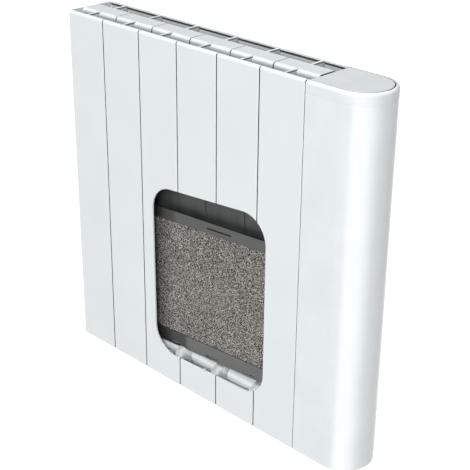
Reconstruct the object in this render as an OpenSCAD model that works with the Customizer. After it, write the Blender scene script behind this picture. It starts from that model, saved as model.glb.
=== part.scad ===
// Wall-hung dry-inertia electric radiator with a cutaway window in its front.
// Drafted from one corner: X runs right from the left edge of the first element,
// Y runs back from the front faces, Z runs up from the lower edge.
// The finished part is moved so that its origin lies in the wall plane,
// at the centre of the four wall screws.

/* [Elements] */
// Height of the radiator
height = 560; // [500:5:640]
// Centre distance of two neighbouring elements
element_pitch = 80; // [78:1:86]
// Joint between two neighbouring elements
element_gap = 1.2; // [0.8:0.1:2]
// Depth of an element, front face to rear face
element_depth = 85; // [82:0.5:87]
// Thickness of the front plate
plate_t = 2.4; // [1.8:0.1:3]
// Depth of the thick rounded head along the top of the front plate
head_depth = 5.6; // [5:0.1:7]
// Height of that head
head_height = 8; // [6:0.5:12]
// Radius of the head's front edge
head_r = 4.6; // [3:0.1:4.9]
// Radius of the front plate's upright edges
edge_r = 1.6; // [0.6:0.1:2.2]
// Air channel between the head and the central body
front_channel = 21; // [20:0.5:24]
// Depth of the central body
body_depth = 30.4; // [28:0.2:32]
// Wall of the hollow central body
body_wall = 2.5; // [2:0.1:4]
// Radius of the central body's upper front edge
body_r = 5; // [2:0.5:7]
// Thickness of the upright webs that carry the plates
web_t = 3; // [2:0.2:4]
// Thickness of the rear plate
rear_t = 2; // [1.4:0.1:3]
// Depth of the lip along the top of the rear plate
lip_depth = 2.8; // [2.4:0.2:6]
// Thickness of that lip
lip_t = 2.2; // [1.6:0.1:3]

/* [Hubs] */
// Radius of the hub that crosses each element
hub_r = 13; // [11:0.5:13]
// Height of the hub axis above the lower edge, and below the top
hub_inset = 52; // [48:1:54]
// How far the hub axis lies behind the body's front face
hub_sink = 0.4; // [0:0.1:2]
// Radius of the joint collars between hubs
collar_r = 16.5; // [14:0.5:16.5]
// Width of a joint collar
collar_w = 20; // [12:1:24]
// Rounding of the hubs' and collars' ends
hub_edge_r = 2.5; // [1:0.5:4]
// Radius of the tie rods
rod_r = 4; // [3:0.5:5]

/* [Window] */
// Left side of the cutaway window at its foot
window_left = 185; // [178:1:200]
// Width of the window
window_w = 233.5; // [220:0.5:240]
// Height of the window's left foot above the lower edge
window_foot = 48; // [44:1:56]
// Height of the window along its left side
window_h = 284; // [240:1:290]
// Rise of the window's lower edge from left to right
window_foot_rise = 6.5; // [0:0.5:12]
// Rise of the window's upper edge from left to right
window_head_rise = 13.5; // [0:0.5:18]
// Corner radius of the window
window_r = 42; // [10:1:60]

/* [Heating core] */
// Centre of the core along the radiator
core_x = 266; // [262:1:267]
// Height of the core's centre
core_z = 181.8; // [180:0.2:190]
// Slope of the core, rising to the right
core_tilt = 4; // [0:0.5:4]
// Width of the core
core_w = 324; // [300:2:326]
// Height of the stone between the two rails
stone_show = 190; // [170:2:192]
// How far the stone reaches behind each rail
stone_lap = 6; // [3:0.5:7]
// Thickness of the stone slab
stone_t = 11.1; // [10:0.1:12]
// Sheet thickness of the rails
rail_t = 1.5; // [1:0.1:2]
// Height of the upper rail's front flange
rail_top_h = 18; // [14:0.5:26]
// Length of the pressed slot in the upper rail
rail_slot_l = 50; // [30:1:100]
// Length of the slots in the lower rail, one before each collar
foot_slot_l = 26; // [10:1:40]
// Height of the rails' slots
rail_slot_h = 2.4; // [1.5:0.1:4]
// Height of the lower rail's front flange
rail_foot_h = 23.5; // [14:0.5:25]
// Thickness of the back plate
back_t = 1.2; // [0.8:0.1:2]
// How far the back plate rises above the stone's centre
back_rise = 165; // [150:1:175]
// Radius of the sheathed heating rod
heater_r = 3.5; // [2.5:0.1:4]

/* [Control housing] */
// Radius of the housing's round end, half its depth
housing_r = 45; // [44:0.5:50]
// Length of the housing's straight part
housing_flat = 57.4; // [54:0.2:70]
// Wall of the housing
shell_t = 2.4; // [1.8:0.1:3]
// Radius of the housing's upper edge
shell_edge_r = 5; // [2:0.5:5.5]
// Radius of the lid's round end
lid_r = 39.1; // [38.4:0.1:39.3]
// Thickness of the lid, and radius of its hinge barrel
lid_t = 3; // [2.4:0.1:3.4]
// Joint round the lid
lid_gap = 0.5; // [0.4:0.1:0.8]
// How far the finger notch stands off to the right of the lid's round end
notch_shift = 1; // [0:0.5:3.5]
// Depth of that notch
notch_depth = 8; // [5:0.5:9]
// Depth of the control deck below the top
deck_drop = 12; // [10:0.5:16]
// Thickness of the control deck
deck_t = 2; // [1.6:0.1:3]
// Radius of the push buttons
button_r = 5.5; // [4:0.5:6.5]
// How far a button stands above the deck
button_rise = 1.5; // [1.4:0.1:2.5]
// Travel of a push button
button_travel = 1.2; // [0.8:0.1:1.3]

/* [Wall fixing] */
// Space between the housing and the wall
wall_gap = 22; // [18:1:40]
// Distance between the two brackets
bracket_span = 280; // [274:1:290]
// Distance between the upper and lower screws of a bracket
screw_span = 340; // [300:5:380]
// Height of the lower screws above the lower edge
screw_foot = 125; // [110:1:150]
// Half width of a screw slot
slot_r = 3.2; // [2.5:0.1:4]
// Length of a screw slot
slot_length = 14; // [10:1:18]
// Width of a bracket's strip
bracket_w = 30; // [26:1:40]
// Sheet thickness of the brackets
bracket_t = 3; // [2:0.5:4]

/* [Hidden] */
$fn = 64;

// Gap left between pieces that rest against each other
seat = 0.1;
// Running clearance of a pin in its bore
running = 0.05;
element_count = 6;
elements_w = element_count * element_pitch;
body_y0 = head_depth + front_channel;
body_y1 = body_y0 + body_depth;
rear_y0 = element_depth - rear_t;
hub_y = body_y0 + hub_sink;
hub_low_z = hub_inset;
hub_high_z = height - hub_inset;
collar_clear = 0.4;
rod_clear = 0.3;
nut_r = 7;
nut_t = 7;
nut_pocket_r = nut_r + rod_clear;

// End cover of the first element, let in flush between its plates
cover_t = 1.5;
cover_x0 = element_gap / 2;
cover_x1 = cover_x0 + cover_t;
cover_foot = 1;
screw_r = 1.75;
screw_head_r = 3.4;
screw_head_t = 1.3;
pan_head_t = 2;
cover_screw_heights = [0.18, 0.5, 0.82] * height;

// Core: the back plate lies on the bodies, then the stone, then the rails' front flanges
back_y1 = body_y0 - seat;
back_y0 = back_y1 - back_t;
stone_y1 = back_y0 - seat;
stone_y0 = stone_y1 - stone_t;
flange_y1 = stone_y0 - seat;
flange_y0 = flange_y1 - rail_t;
stone_half = stone_show / 2 + stone_lap;
rail_web_v = stone_half + 0.2;
core_clear = 0.6;
back_rib_w = 5;
back_rib_t = 1;
back_ribs_u = [-66, 14, 94];
cutout_u = -124;
rail_slot_u = 30;
heater_y = stone_y1 - heater_r;
heater_bends = [-100, 120];
heater_outer = 60;
heater_inner = 20;
groove_clear = 0.3;
lead_r = 1.7;
lead_hole_r = 3;

// Housing
housing_x0 = elements_w + element_gap / 2;
round_x = housing_x0 + housing_flat;
housing_depth = 2 * housing_r;
total_w = round_x + housing_r;
rim_depth = deck_drop + deck_t + 2;
opening_r = lid_r + lid_gap;
ledge = 2.4;
frame_z0 = height - rim_depth;
skirt_h = 6;
skirt_t = 1.3;
deck_r = opening_r - 0.2;
deck_z0 = height - deck_drop - deck_t;
chassis_t = 1.5;
chassis_x1 = housing_x0 + chassis_t;
chassis_y0 = shell_t + seat;
chassis_y1 = housing_depth - shell_t - seat;
hinge_x = housing_x0 + 0.4 + lid_t;
hinge_z = height - lid_t;
pin_r = 1.25;
pin_hold = 3;
flange_in_x0 = chassis_x1 + seat;
flange_in_t = 2;
flange_in_w = 10;
shell_screw_heights = [40, height - 60];
board_t = 1.6;
control_z = deck_z0 - 9;
control_post_r = 2;
key_top = control_z + board_t + 3;
stem_r = 1.5;
stem_z0 = key_top - 0.3;
board_screw_r = 1;
board_x0 = chassis_x1 + 6;
power_y = [39, 79];
power_z = [120, 330];
post_r = 3;
ribbon_y = power_y[0] + 10;
ribbon_w = 16;
ribbon_t = 0.9;
relay_size = [14.3, 20, 29];
relay_at = [power_y[0] + 10, power_z[0] + 70];
capacitor_r = 8;
capacitor_l = 18.3;
capacitor_at = [power_y[0] + 22, power_z[0] + 150];
small_head_r = 2;
small_head_t = 1.3;
cap_boss_l = 10;
pad_r = 8;
cap_t = 2.5;
cap_z0 = 6;
cap_r = housing_r - shell_t - 0.15;
boss_r = 4;
boss_bite = 0.4;
boss_reach = opening_r - ledge - boss_r + 1;
cap_boss = [[round_x - 12, shell_t + boss_r - boss_bite], [round_x - 12, housing_depth - shell_t - boss_r + boss_bite]];
switch_at = [round_x - 30, housing_r];
switch_size = [14, 22];
switch_deep = 20;
rocker_size = [9, 17];
rocker_pin_r = 1.2;
rocker_rest = 9;
gland_at = [round_x + 8, housing_r];
gland_r = 7.5;
gland_bore_r = 3.6;
gland_length = 24;
sensor_at = [round_x + 28, housing_r];
sensor_r = 2.5;
button_flange_t = 1;
button_at = [[round_x + 20, housing_r], [round_x - 34, 27], [round_x - 14, 27], [round_x + 6, 27]];
display_size = [40, 20];
display_at = [round_x - 38, 46];

// Wall plane and screws; the origin of the part
wall_x = elements_w / 2;
wall_y = housing_depth + wall_gap;
wall_z = screw_foot + screw_span / 2;
bracket_xs = [wall_x - bracket_span / 2, wall_x + bracket_span / 2];
hook_z = screw_foot + screw_span - 30;
hook_lip = 6;
hook_h = 14;
hook_tip = 4;
hook_slot_h = hook_h + 2;
hook_slot_w = bracket_t + 2;
spacer_z = screw_foot + 30;
pad_t = 2;

// Moves a shape from the drafting corner to the part's origin
module from_corner() translate([-wall_x, -wall_y, -wall_z]) children();

// Carries a profile drawn in Y and Z along X
module along_x(x0, x1) translate([x0, 0, 0]) rotate([90, 0, 90]) linear_extrude(x1 - x0) children();

// Carries a profile drawn in X and Z along Y
module along_y(y0, y1) translate([0, y1, 0]) rotate([90, 0, 0]) linear_extrude(y1 - y0) children();

// A box given by its two corners
module box(low, high) translate(low) cube(high - low);

// A round bar along X, Y or Z between two places
module bar_x(r, x0, x1, y, z) translate([x0, y, z]) rotate([0, 90, 0]) cylinder(r = r, h = x1 - x0);
module bar_y(r, y0, y1, x, z) translate([x, y0, z]) rotate([-90, 0, 0]) cylinder(r = r, h = y1 - y0);
module bar_z(r, z0, z1, x, y) translate([x, y, z0]) cylinder(r = r, h = z1 - z0);

// A round bar along X whose ends are rounded by e
module rounded_bar_x(r, e, x0, x1, y, z) {
    translate([x0, y, z]) rotate([0, 90, 0]) rotate_extrude() {
        square([r - e, x1 - x0]);
        translate([0, e]) square([r, x1 - x0 - 2 * e]);
        for (h = [e, x1 - x0 - e]) translate([r - e, h]) circle(e);
    }
}

// A rectangle whose corner at the low X and high Y side is rounded
module shouldered(w, h, r) {
    square([w, h - r]);
    translate([r, 0]) square([w - r, h]);
    translate([0, h - r]) intersection() {
        translate([r, 0]) circle(r);
        square(r);
    }
}

// Places a shape drawn about the core's centre, with X along the core and Z across it
module in_core() translate([core_x, 0, core_z]) rotate([0, -core_tilt, 0]) children();

// Unit normal that points right of the way from a to b
function right_of(a, b) = [b[1] - a[1], a[0] - b[0]] / norm(b - a);

// Four corner centres of the window, counter-clockwise from the lower left one
window_right = window_left + window_w;
window_corners = [
    [window_left + window_r, window_foot + window_r],
    [window_right - window_r, window_foot + window_foot_rise + window_r],
    [window_right - window_r, window_foot + window_h + window_head_rise - window_r],
    [window_left + window_r - 1.5, window_foot + window_h - window_r]];

// How far the round corners stand past the straight sides, so that the two cross cleanly
corner_ease = 0.02;

// Outline of the window: four round corners and the straight sides between them
module window_outline() {
    for (c = window_corners) translate(c) circle(window_r + corner_ease);
    polygon([for (i = [0:3], end = [0, 1])
        let(a = window_corners[i], b = window_corners[(i + 1) % 4])
        (end == 0 ? a : b) + right_of(a, b) * window_r]);
}

// Front plate of one element: a wall with a thick rounded head, its upright edges rounded
module front_plate(x0, x1) {
    intersection() {
        along_x(x0, x1) {
            square([plate_t, height - head_height / 2]);
            translate([0, height - head_height]) shouldered(head_depth, head_height, head_r);
        }
        linear_extrude(height) {
            translate([x0, edge_r]) square([x1 - x0, head_depth]);
            translate([x0 + edge_r, 0]) square([x1 - x0 - 2 * edge_r, head_depth]);
            for (x = [x0 + edge_r, x1 - edge_r]) translate([x, edge_r]) circle(edge_r);
        }
    }
}

// Hollow central body, open at the foot
module central_body(x0, x1) {
    difference() {
        along_x(x0, x1) translate([body_y0, 0]) shouldered(body_depth, height, body_r);
        box([x0 + body_wall, body_y0 + body_wall, -1],
            [x1 - body_wall, body_y1 - body_wall, height - body_r - 1]);
    }
}

// Rear plate with its lip
module rear_plate(x0, x1) {
    box([x0, rear_y0, 0], [x1, element_depth, height]);
    box([x0, element_depth - lip_depth, height - lip_t], [x1, element_depth, height]);
}

// Height of a place on the core, given by its distance v above the core's centre line, at X
function core_at(v, x) = core_z + (x - core_x) * tan(core_tilt) + v / cos(core_tilt);

// Front web in Y and Z: whole beside the core, cut back round the core and before the hub behind it
module front_web(mid) {
    top = height - head_height + 1;
    reach = core_w / 2 * cos(core_tilt) + (stone_show / 2 + rail_foot_h) * sin(core_tilt) + web_t;
    crosses = abs(mid - core_x) < reach;
    low = crosses ? core_at(-stone_show / 2 - rail_foot_h, mid) - core_clear : top;
    high = crosses ? core_at(back_rise, mid) + core_clear : 0;
    ahead = crosses ? hub_y - 3 : plate_t / 2;
    along_x(mid - web_t / 2, mid + web_t / 2) {
        translate([plate_t / 2, 0]) square([body_y0 + 0.5 - plate_t / 2, hub_low_z - hub_r + 1.5]);
        translate([ahead, hub_low_z - hub_r]) square([body_y0 + 0.5 - ahead, low - hub_low_z + hub_r]);
        translate([plate_t / 2, max(high, hub_low_z)]) square([body_y0 + 0.5 - plate_t / 2, top - max(high, hub_low_z)]);
        translate([head_depth - 0.5, top - 1]) square([body_y0 + 1 - head_depth, height - body_r - top + 1]);
        translate([head_depth - 0.5, height - body_r - 0.5]) square([front_channel + body_r + 0.5, body_r + 0.5]);
    }
}

// One element, counted from the left
module element(k) {
    x0 = (k - 1) * element_pitch + element_gap / 2;
    x1 = k * element_pitch - element_gap / 2;
    inner_x0 = k == 1 ? cover_x1 + seat : x0;
    mid = (k - 0.5) * element_pitch;
    hub_x0 = k == 1 ? inner_x0 : x0 - element_gap / 2 + collar_w / 2 + seat;
    hub_x1 = k == element_count ? housing_x0 - seat : x1 + element_gap / 2 - collar_w / 2 - seat;
    color([0.90, 0.92, 0.92]) from_corner() difference() {
        union() {
            front_plate(x0, x1);
            central_body(inner_x0, x1);
            rear_plate(k == 1 ? inner_x0 : x0, x1);
            front_web(mid);
            box([mid - web_t / 2, body_y1 - 0.5, 0], [mid + web_t / 2, rear_y0 + 0.5, height]);
            for (z = [hub_low_z, hub_high_z]) rounded_bar_x(hub_r, hub_edge_r, hub_x0, hub_x1, hub_y, z);
        }
        for (z = [hub_low_z, hub_high_z]) {
            bar_x(rod_r + rod_clear, x0 - 1, x1 + 3, hub_y, z);
            if (k > 1) collar_space((k - 1) * element_pitch, z);
            if (k < element_count) collar_space(k * element_pitch, z);
            if (k == 1) bar_x(nut_pocket_r, inner_x0 - 1, inner_x0 + nut_t + 1, hub_y, z);
        }
        if (k > 2) along_y(-1, plate_t + 0.01) window_outline();
        if (k == 1) for (z = cover_screw_heights)
            bar_x(screw_r + seat, x0, inner_x0 + body_wall + 1, (body_y0 + body_y1) / 2, z);
        if (k == element_count) for (v = [heater_inner, heater_outer])
            in_core() bar_x(lead_hole_r, core_w / 2, core_w, heater_y, v);
        for (x = bracket_xs)
            box([x - hook_slot_w / 2, rear_y0 - 1, hook_z - hook_slot_h],
                [x + hook_slot_w / 2, element_depth + 1, hook_z]);
    }
}

// Room that a joint collar needs between two elements
module collar_space(x, z) {
    half = collar_w / 2 + 0.05;
    bar_x(collar_r + collar_clear, x - half, x + half, hub_y, z);
}

// Collars that join the hubs of neighbouring elements
module joint_collars(z) {
    color([0.62, 0.63, 0.64]) from_corner()
        for (k = [1:element_count - 1]) difference() {
            rounded_bar_x(collar_r, hub_edge_r, k * element_pitch - collar_w / 2,
                k * element_pitch + collar_w / 2, hub_y, z);
            bar_x(rod_r + rod_clear, (k - 1) * element_pitch, (k + 1) * element_pitch, hub_y, z);
        }
}

// Flush cover that closes the open side of the first element
module end_cover() {
    color([0.90, 0.92, 0.92]) from_corner() difference() {
        along_x(cover_x0, cover_x1) {
            translate([plate_t + 0.2, cover_foot])
                square([rear_y0 - plate_t - 0.4, height - head_height - cover_foot - 0.2]);
            translate([head_depth + 0.2, cover_foot])
                square([element_depth - lip_depth - head_depth - 0.4, height - cover_foot]);
            translate([head_depth + 0.2, cover_foot])
                square([rear_y0 - head_depth - 0.4, height - lip_t - cover_foot - 0.2]);
        }
        for (z = cover_screw_heights) {
            bar_x(screw_r + seat, cover_x0 - 1, cover_x1 + 1, (body_y0 + body_y1) / 2, z);
            bar_x(screw_head_r + seat, cover_x0 - 1, cover_x0 + screw_head_t, (body_y0 + body_y1) / 2, z);
        }
    }
}

// Countersunk screws of the end cover
module end_cover_screws() {
    color([0.75, 0.76, 0.78]) from_corner() for (z = cover_screw_heights) {
        bar_x(screw_head_r, cover_x0 + 0.1, cover_x0 + screw_head_t, (body_y0 + body_y1) / 2, z);
        bar_x(screw_r, cover_x0 + 0.1, cover_x1 + body_wall, (body_y0 + body_y1) / 2, z);
    }
}

// Threaded rod that clamps the elements to the chassis plate
module tie_rod(z) {
    color([0.70, 0.71, 0.72]) from_corner()
        bar_x(rod_r, cover_x1 + 2 * seat, chassis_x1 + nut_t + 2, hub_y, z);
}

// Nuts at both ends of both rods
module tie_rod_nuts() {
    color([0.70, 0.71, 0.72]) from_corner() for (z = [hub_low_z, hub_high_z]) {
        difference() {
            union() {
                translate([cover_x1 + seat + 1 + seat, hub_y, z]) rotate([0, 90, 0])
                    cylinder(r = nut_r, h = nut_t - 0.2, $fn = 6);
                translate([chassis_x1 + seat, hub_y, z]) rotate([0, 90, 0])
                    cylinder(r = nut_r, h = nut_t, $fn = 6);
            }
            bar_x(rod_r + running, 0, chassis_x1 + nut_t + 3, hub_y, z);
        }
    }
}

// Path of the heating rod about the core's centre, swollen to a radius
module heater_path(r, y) {
    left = heater_bends[0];
    right = heater_bends[1];
    for (v = [heater_inner, heater_outer]) bar_x(r, left, core_w / 2 - seat, y, v);
    for (v = [-heater_inner, -heater_outer]) bar_x(r, left, right, y, v);
    bend(left, 0, heater_outer, r, y, -1);
    bend(left, 0, heater_inner, r, y, -1);
    bend(right, -(heater_inner + heater_outer) / 2, (heater_outer - heater_inner) / 2, r, y, 1);
}

// Half a turn of rod about a place in the core's plane, to the left or to the right
module bend(u, v, radius, r, y, side) {
    translate([u, y, v]) rotate([90, 0, 0]) intersection() {
        rotate_extrude() translate([radius, 0]) circle(r);
        translate([side > 0 ? 0 : -2 * radius - r, -2 * radius, -2 * r])
            cube([2 * radius + r, 4 * radius, 4 * r]);
    }
}

// Opening of the groove at the back of the stone, along the same path
module groove_path(w, y0, y1) {
    left = heater_bends[0];
    right = heater_bends[1];
    for (v = [heater_inner, heater_outer]) box([left, y0, v - w], [core_w, y1, v + w]);
    for (v = [-heater_inner, -heater_outer]) box([left, y0, v - w], [right, y1, v + w]);
    ring_half(left, 0, heater_outer, w, y0, y1, -1);
    ring_half(left, 0, heater_inner, w, y0, y1, -1);
    ring_half(right, -(heater_inner + heater_outer) / 2, (heater_outer - heater_inner) / 2, w, y0, y1, 1);
}

// Half a flat ring about a place in the core's plane
module ring_half(u, v, radius, w, y0, y1, side) {
    translate([u, y1, v]) rotate([90, 0, 0]) intersection() {
        difference() {
            cylinder(r = radius + w, h = y1 - y0);
            translate([0, 0, -1]) cylinder(r = radius - w, h = y1 - y0 + 2);
        }
        translate([side > 0 ? 0 : -2 * radius - w, -2 * radius, -1])
            cube([2 * radius + w, 4 * radius, y1 - y0 + 2]);
    }
}

// Refractory stone slab, grooved at the back for the heating rod
module stone_core() {
    half = core_w / 2 - 0.5;
    color([0.55, 0.51, 0.48]) from_corner() in_core() difference() {
        box([-half, stone_y0, -stone_half], [half, stone_y1, stone_half]);
        groove_path(heater_r + groove_clear, heater_y, stone_y1 + 1);
        heater_path(heater_r + groove_clear, heater_y);
    }
}

// Sheathed heating rod in the stone's groove, lying on the back plate
module heating_rod() {
    color([0.45, 0.45, 0.46]) from_corner() in_core() heater_path(heater_r, heater_y);
}

// Rail along one edge of the stone: a front flange and a shelf back to the back plate
module core_rail(flange_h, side) {
    half = core_w / 2;
    v0 = side > 0 ? stone_show / 2 : -stone_show / 2 - flange_h;
    shelf = side > 0 ? rail_web_v : -rail_web_v - rail_t;
    box([-half, flange_y0, v0], [half, flange_y1, v0 + flange_h]);
    box([-half, flange_y0, shelf], [half, back_y0 - seat, shelf + rail_t]);
}

// Upper rail, with a long slot in its flange
module core_rail_upper() {
    slot_v = stone_show / 2 + rail_top_h - 4 * rail_slot_h;
    color([0.42, 0.43, 0.43]) from_corner() in_core() difference() {
        core_rail(rail_top_h, 1);
        box([rail_slot_u, flange_y0 - 1, slot_v - rail_slot_h / 2],
            [rail_slot_u + rail_slot_l, flange_y1 + 1, slot_v + rail_slot_h / 2]);
    }
}

// Lower rail with its slots, cut back round the joint collars
module core_rail_lower() {
    slot_v = -stone_show / 2 - rail_foot_h + 2 * rail_slot_h;
    color([0.42, 0.43, 0.43]) from_corner() difference() {
        in_core() difference() {
            core_rail(rail_foot_h, -1);
            for (k = [2:element_count - 1]) {
                slot_end = k * element_pitch - core_x - collar_w / 2 - 5;
                box([slot_end - foot_slot_l, flange_y0 - 1, slot_v - rail_slot_h / 2],
                    [slot_end, flange_y1 + 1, slot_v + rail_slot_h / 2]);
            }
        }
        for (k = [1:element_count - 1]) bar_x(collar_r + 1, k * element_pitch - collar_w / 2 - 1,
            k * element_pitch + collar_w / 2 + 1, hub_y, hub_low_z);
    }
}

// Dark back plate between the stone and the bodies, with upright ribs above the stone
module core_back_plate() {
    half = core_w / 2 - 0.5;
    color([0.22, 0.23, 0.23]) from_corner() in_core() difference() {
        union() {
            box([-half, back_y0, -rail_web_v], [half, back_y1, back_rise]);
            for (u = back_ribs_u) box([u - back_rib_w / 2, back_y0 - back_rib_t, stone_half + 8],
                [u + back_rib_w / 2, back_y1, back_rise - 2]);
        }
        core_screw_places() bar_y(screw_r + seat, back_y0 - 3, back_y1 + 1, 0, 0);
    }
}

// Places of the screws that hold the back plate to the bodies
module core_screw_places() {
    for (u = [-144, -46, 34, 114]) translate([u, 0, back_rise - 9]) children();
}

// Pan-head screws of the back plate
module core_screws() {
    color([0.70, 0.71, 0.72]) from_corner() in_core() core_screw_places() {
        bar_y(screw_head_r, back_y0 - screw_head_t - seat, back_y0 - seat, 0, 0);
        bar_y(screw_r, back_y0 - seat - 0.1, back_y1 - seat, 0, 0);
    }
}

// Leads from the heating rod through the last element's web to the terminal block
module core_leads() {
    color([0.80, 0.20, 0.15]) from_corner() intersection() {
        in_core() for (v = [heater_inner, heater_outer]) bar_x(lead_r, core_w / 2 + seat, core_w, heater_y, v);
        box([0, 0, 0], [board_x0 + 4, element_depth, height]);
    }
}

// Grommets where the leads pass the chassis plate
module lead_grommets() {
    color([0.15, 0.15, 0.15]) from_corner() for (v = [heater_inner, heater_outer]) {
        z = core_at(v, chassis_x1);
        difference() {
            union() {
                bar_x(5 - seat, housing_x0, chassis_x1 + 2.5, heater_y, z);
                bar_x(7, chassis_x1 + seat, chassis_x1 + 2.5, heater_y, z);
            }
            bar_x(lead_r + 0.3, housing_x0 - 1, chassis_x1 + 4, heater_y, z);
        }
    }
}

// Thermal cut-out screwed on the back plate above the stone
module thermal_cutout() {
    color([0.85, 0.82, 0.70]) from_corner() in_core() {
        bar_y(8, back_y0 - seat - 7, back_y0 - seat, cutout_u, back_rise - 22);
        bar_y(5, back_y0 - seat - 9, back_y0 - seat - 6, cutout_u, back_rise - 22);
    }
}

// Solid of the housing's outer form, with its upper edge rounded
module housing_form() {
    r = shell_edge_r;
    along_x(housing_x0, round_x) {
        shouldered(housing_r, height, r);
        translate([housing_depth, 0]) mirror([1, 0]) shouldered(housing_r, height, r);
    }
    translate([round_x, housing_r, 0]) intersection() {
        rotate_extrude() {
            square([housing_r, height - r]);
            square([housing_r - r, height]);
            translate([housing_r - r, height - r]) circle(r);
        }
        translate([0, -housing_r, 0]) cube([housing_r, housing_depth, height]);
    }
}

// A plate or hollow with a straight part and a round end, as the housing has
module round_ended(x0, r, z0, z1) {
    box([x0, housing_r - r, z0], [round_x, housing_r + r, z1]);
    bar_z(r, z0, z1, round_x, housing_r);
}

// Housing shell: upright tube with a round end, with flanges and screw bosses inside
module housing_shell() {
    color([0.90, 0.92, 0.92]) from_corner() difference() {
        union() {
            difference() {
                round_ended(housing_x0, housing_r, 0, frame_z0);
                round_ended(housing_x0 - 1, housing_r - shell_t, -1, frame_z0 + 1);
            }
            for (side = [0, 1]) shell_flange(side);
            for (b = cap_boss) bar_z(boss_r, cap_z0 + cap_t + seat, cap_z0 + cap_t + cap_boss_l + 4, b[0], b[1]);
        }
        for (b = cap_boss) bar_z(screw_r + seat, 0, cap_z0 + cap_t + cap_boss_l + 1, b[0], b[1]);
        shell_screw_places() bar_x(screw_r + seat, flange_in_x0 - 1, flange_in_x0 + flange_in_t + 1, 0, 0);
    }
}

// Top frame: rounded rim that plugs into the shell with a skirt, and carries the deck and the lid
module top_frame() {
    plug_r = housing_r - shell_t - seat;
    color([0.90, 0.92, 0.92]) from_corner() difference() {
        union() {
            difference() {
                intersection() {
                    housing_form();
                    box([0, -1, frame_z0 + seat], [total_w + 1, housing_depth + 1, height + 1]);
                }
                round_ended(housing_x0 + chassis_t, opening_r - ledge, frame_z0 - 1, height + 1);
                round_ended(housing_x0 + chassis_t, opening_r, deck_z0, height + 1);
                bar_z(opening_r, height - notch_depth, height + 1, round_x + notch_shift, housing_r);
                box([housing_x0 - 1, housing_r - opening_r, height - 2 * lid_t - 0.6],
                    [round_x, housing_r + opening_r, height + 1]);
            }
            difference() {
                round_ended(chassis_x1 + 2 * seat, plug_r, frame_z0 - skirt_h, frame_z0 + 1);
                round_ended(housing_x0, plug_r - skirt_t, frame_z0 - skirt_h - 1, frame_z0 + 2);
            }
            deck_screw_places() bar_z(boss_r, deck_z0 - 8, deck_z0, 0, 0);
            for (side = [-1, 1]) lid_rest(side);
        }
        bar_y(pin_r + running, housing_r - opening_r - pin_hold, housing_r + opening_r + pin_hold, hinge_x, hinge_z);
        deck_screw_places() bar_z(screw_r + seat, deck_z0 - 7, deck_z0 + 1, 0, 0);
    }
}

// Small shelf on which the closed lid rests, on one side of its round end
module lid_rest(side) {
    y = housing_r + side * 20;
    intersection() {
        box([round_x + 27, y - 4, height - lid_t - 3], [total_w, y + 4, height - lid_t - seat]);
        bar_z(housing_r - 1, 0, height, round_x, housing_r);
    }
}

// Upright flange inside the shell, screwed to the chassis plate
module shell_flange(side) {
    y0 = side == 0 ? shell_t - 0.5 : housing_depth - shell_t - flange_in_w;
    box([flange_in_x0, y0, 20], [flange_in_x0 + flange_in_t, y0 + flange_in_w + 0.5, frame_z0 - skirt_h - 1]);
}

// Places of the screws between shell and chassis plate
module shell_screw_places() {
    for (z = shell_screw_heights, y = [shell_t + 6, housing_depth - shell_t - 6]) translate([0, y, z]) children();
}

// Chassis plate that closes the housing towards the elements and carries the boards
module chassis_plate() {
    color([0.72, 0.73, 0.74]) from_corner() difference() {
        union() {
            box([housing_x0, chassis_y0, 1], [chassis_x1, chassis_y1, height - rim_depth - seat]);
            board_posts() bar_x(post_r, chassis_x1 - 0.5, board_x0 - seat, 0, 0);
            bar_x(post_r, chassis_x1 - 0.5, board_x0 - seat, heater_y + 9, terminal_z());
        }
        board_posts() bar_x(board_screw_r + seat, chassis_x1 + 1, board_x0 + 1, 0, 0);
        bar_x(board_screw_r + seat, chassis_x1 + 1, board_x0 + 1, heater_y + 9, terminal_z());
        for (z = [hub_low_z, hub_high_z]) bar_x(rod_r + rod_clear, housing_x0 - 1, chassis_x1 + 1, hub_y, z);
        for (v = [heater_inner, heater_outer])
            bar_x(5, housing_x0 - 1, chassis_x1 + 1, heater_y, core_at(v, chassis_x1));
        shell_screw_places() bar_x(screw_r + seat, housing_x0 - 1, chassis_x1 + 1, 0, 0);
    }
}

// Places of the posts under the power board
module board_posts() {
    for (y = [power_y[0] + 5, power_y[1] - 5], z = [power_z[0] + 5, power_z[1] - 5]) translate([0, y, z]) children();
}

// Height of the terminal block's centre, midway between the two leads
function terminal_z() = (core_at(heater_inner, board_x0) + core_at(heater_outer, board_x0)) / 2;

// Screws between shell and chassis plate
module shell_screws() {
    color([0.70, 0.71, 0.72]) from_corner() shell_screw_places() {
        head_x = flange_in_x0 + flange_in_t + seat;
        bar_x(screw_head_r, head_x, head_x + pan_head_t, 0, 0);
        bar_x(screw_r, housing_x0 + 0.2, head_x + 0.5, 0, 0);
    }
}

// Control deck under the lid, with holes for the buttons and a seat for the display
module control_deck() {
    color([0.20, 0.21, 0.22]) from_corner() difference() {
        union() {
            intersection() {
                round_ended(chassis_x1 + 0.2, deck_r, deck_z0 + seat, deck_z0 + deck_t);
                box([0, 0, 0], [total_w, housing_depth, height]);
            }
            control_posts() bar_z(control_post_r, control_z + board_t + seat, deck_z0 + 0.5, 0, 0);
        }
        control_posts() bar_z(board_screw_r + seat, control_z, deck_z0 - 1, 0, 0);
        for (p = button_at) bar_z(button_r + 0.3, deck_z0 - 1, deck_z0 + deck_t + 1, p[0], p[1]);
        box([display_at[0], display_at[1], deck_z0 - 1],
            [display_at[0] + display_size[0], display_at[1] + display_size[1], deck_z0 + deck_t + 1]);
        deck_screw_places() {
            bar_z(screw_r + seat, deck_z0 - 1, deck_z0 + deck_t + 1, 0, 0);
            bar_z(screw_head_r + seat, deck_z0 + deck_t - 1, deck_z0 + deck_t + 1, 0, 0);
        }
    }
}

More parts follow.
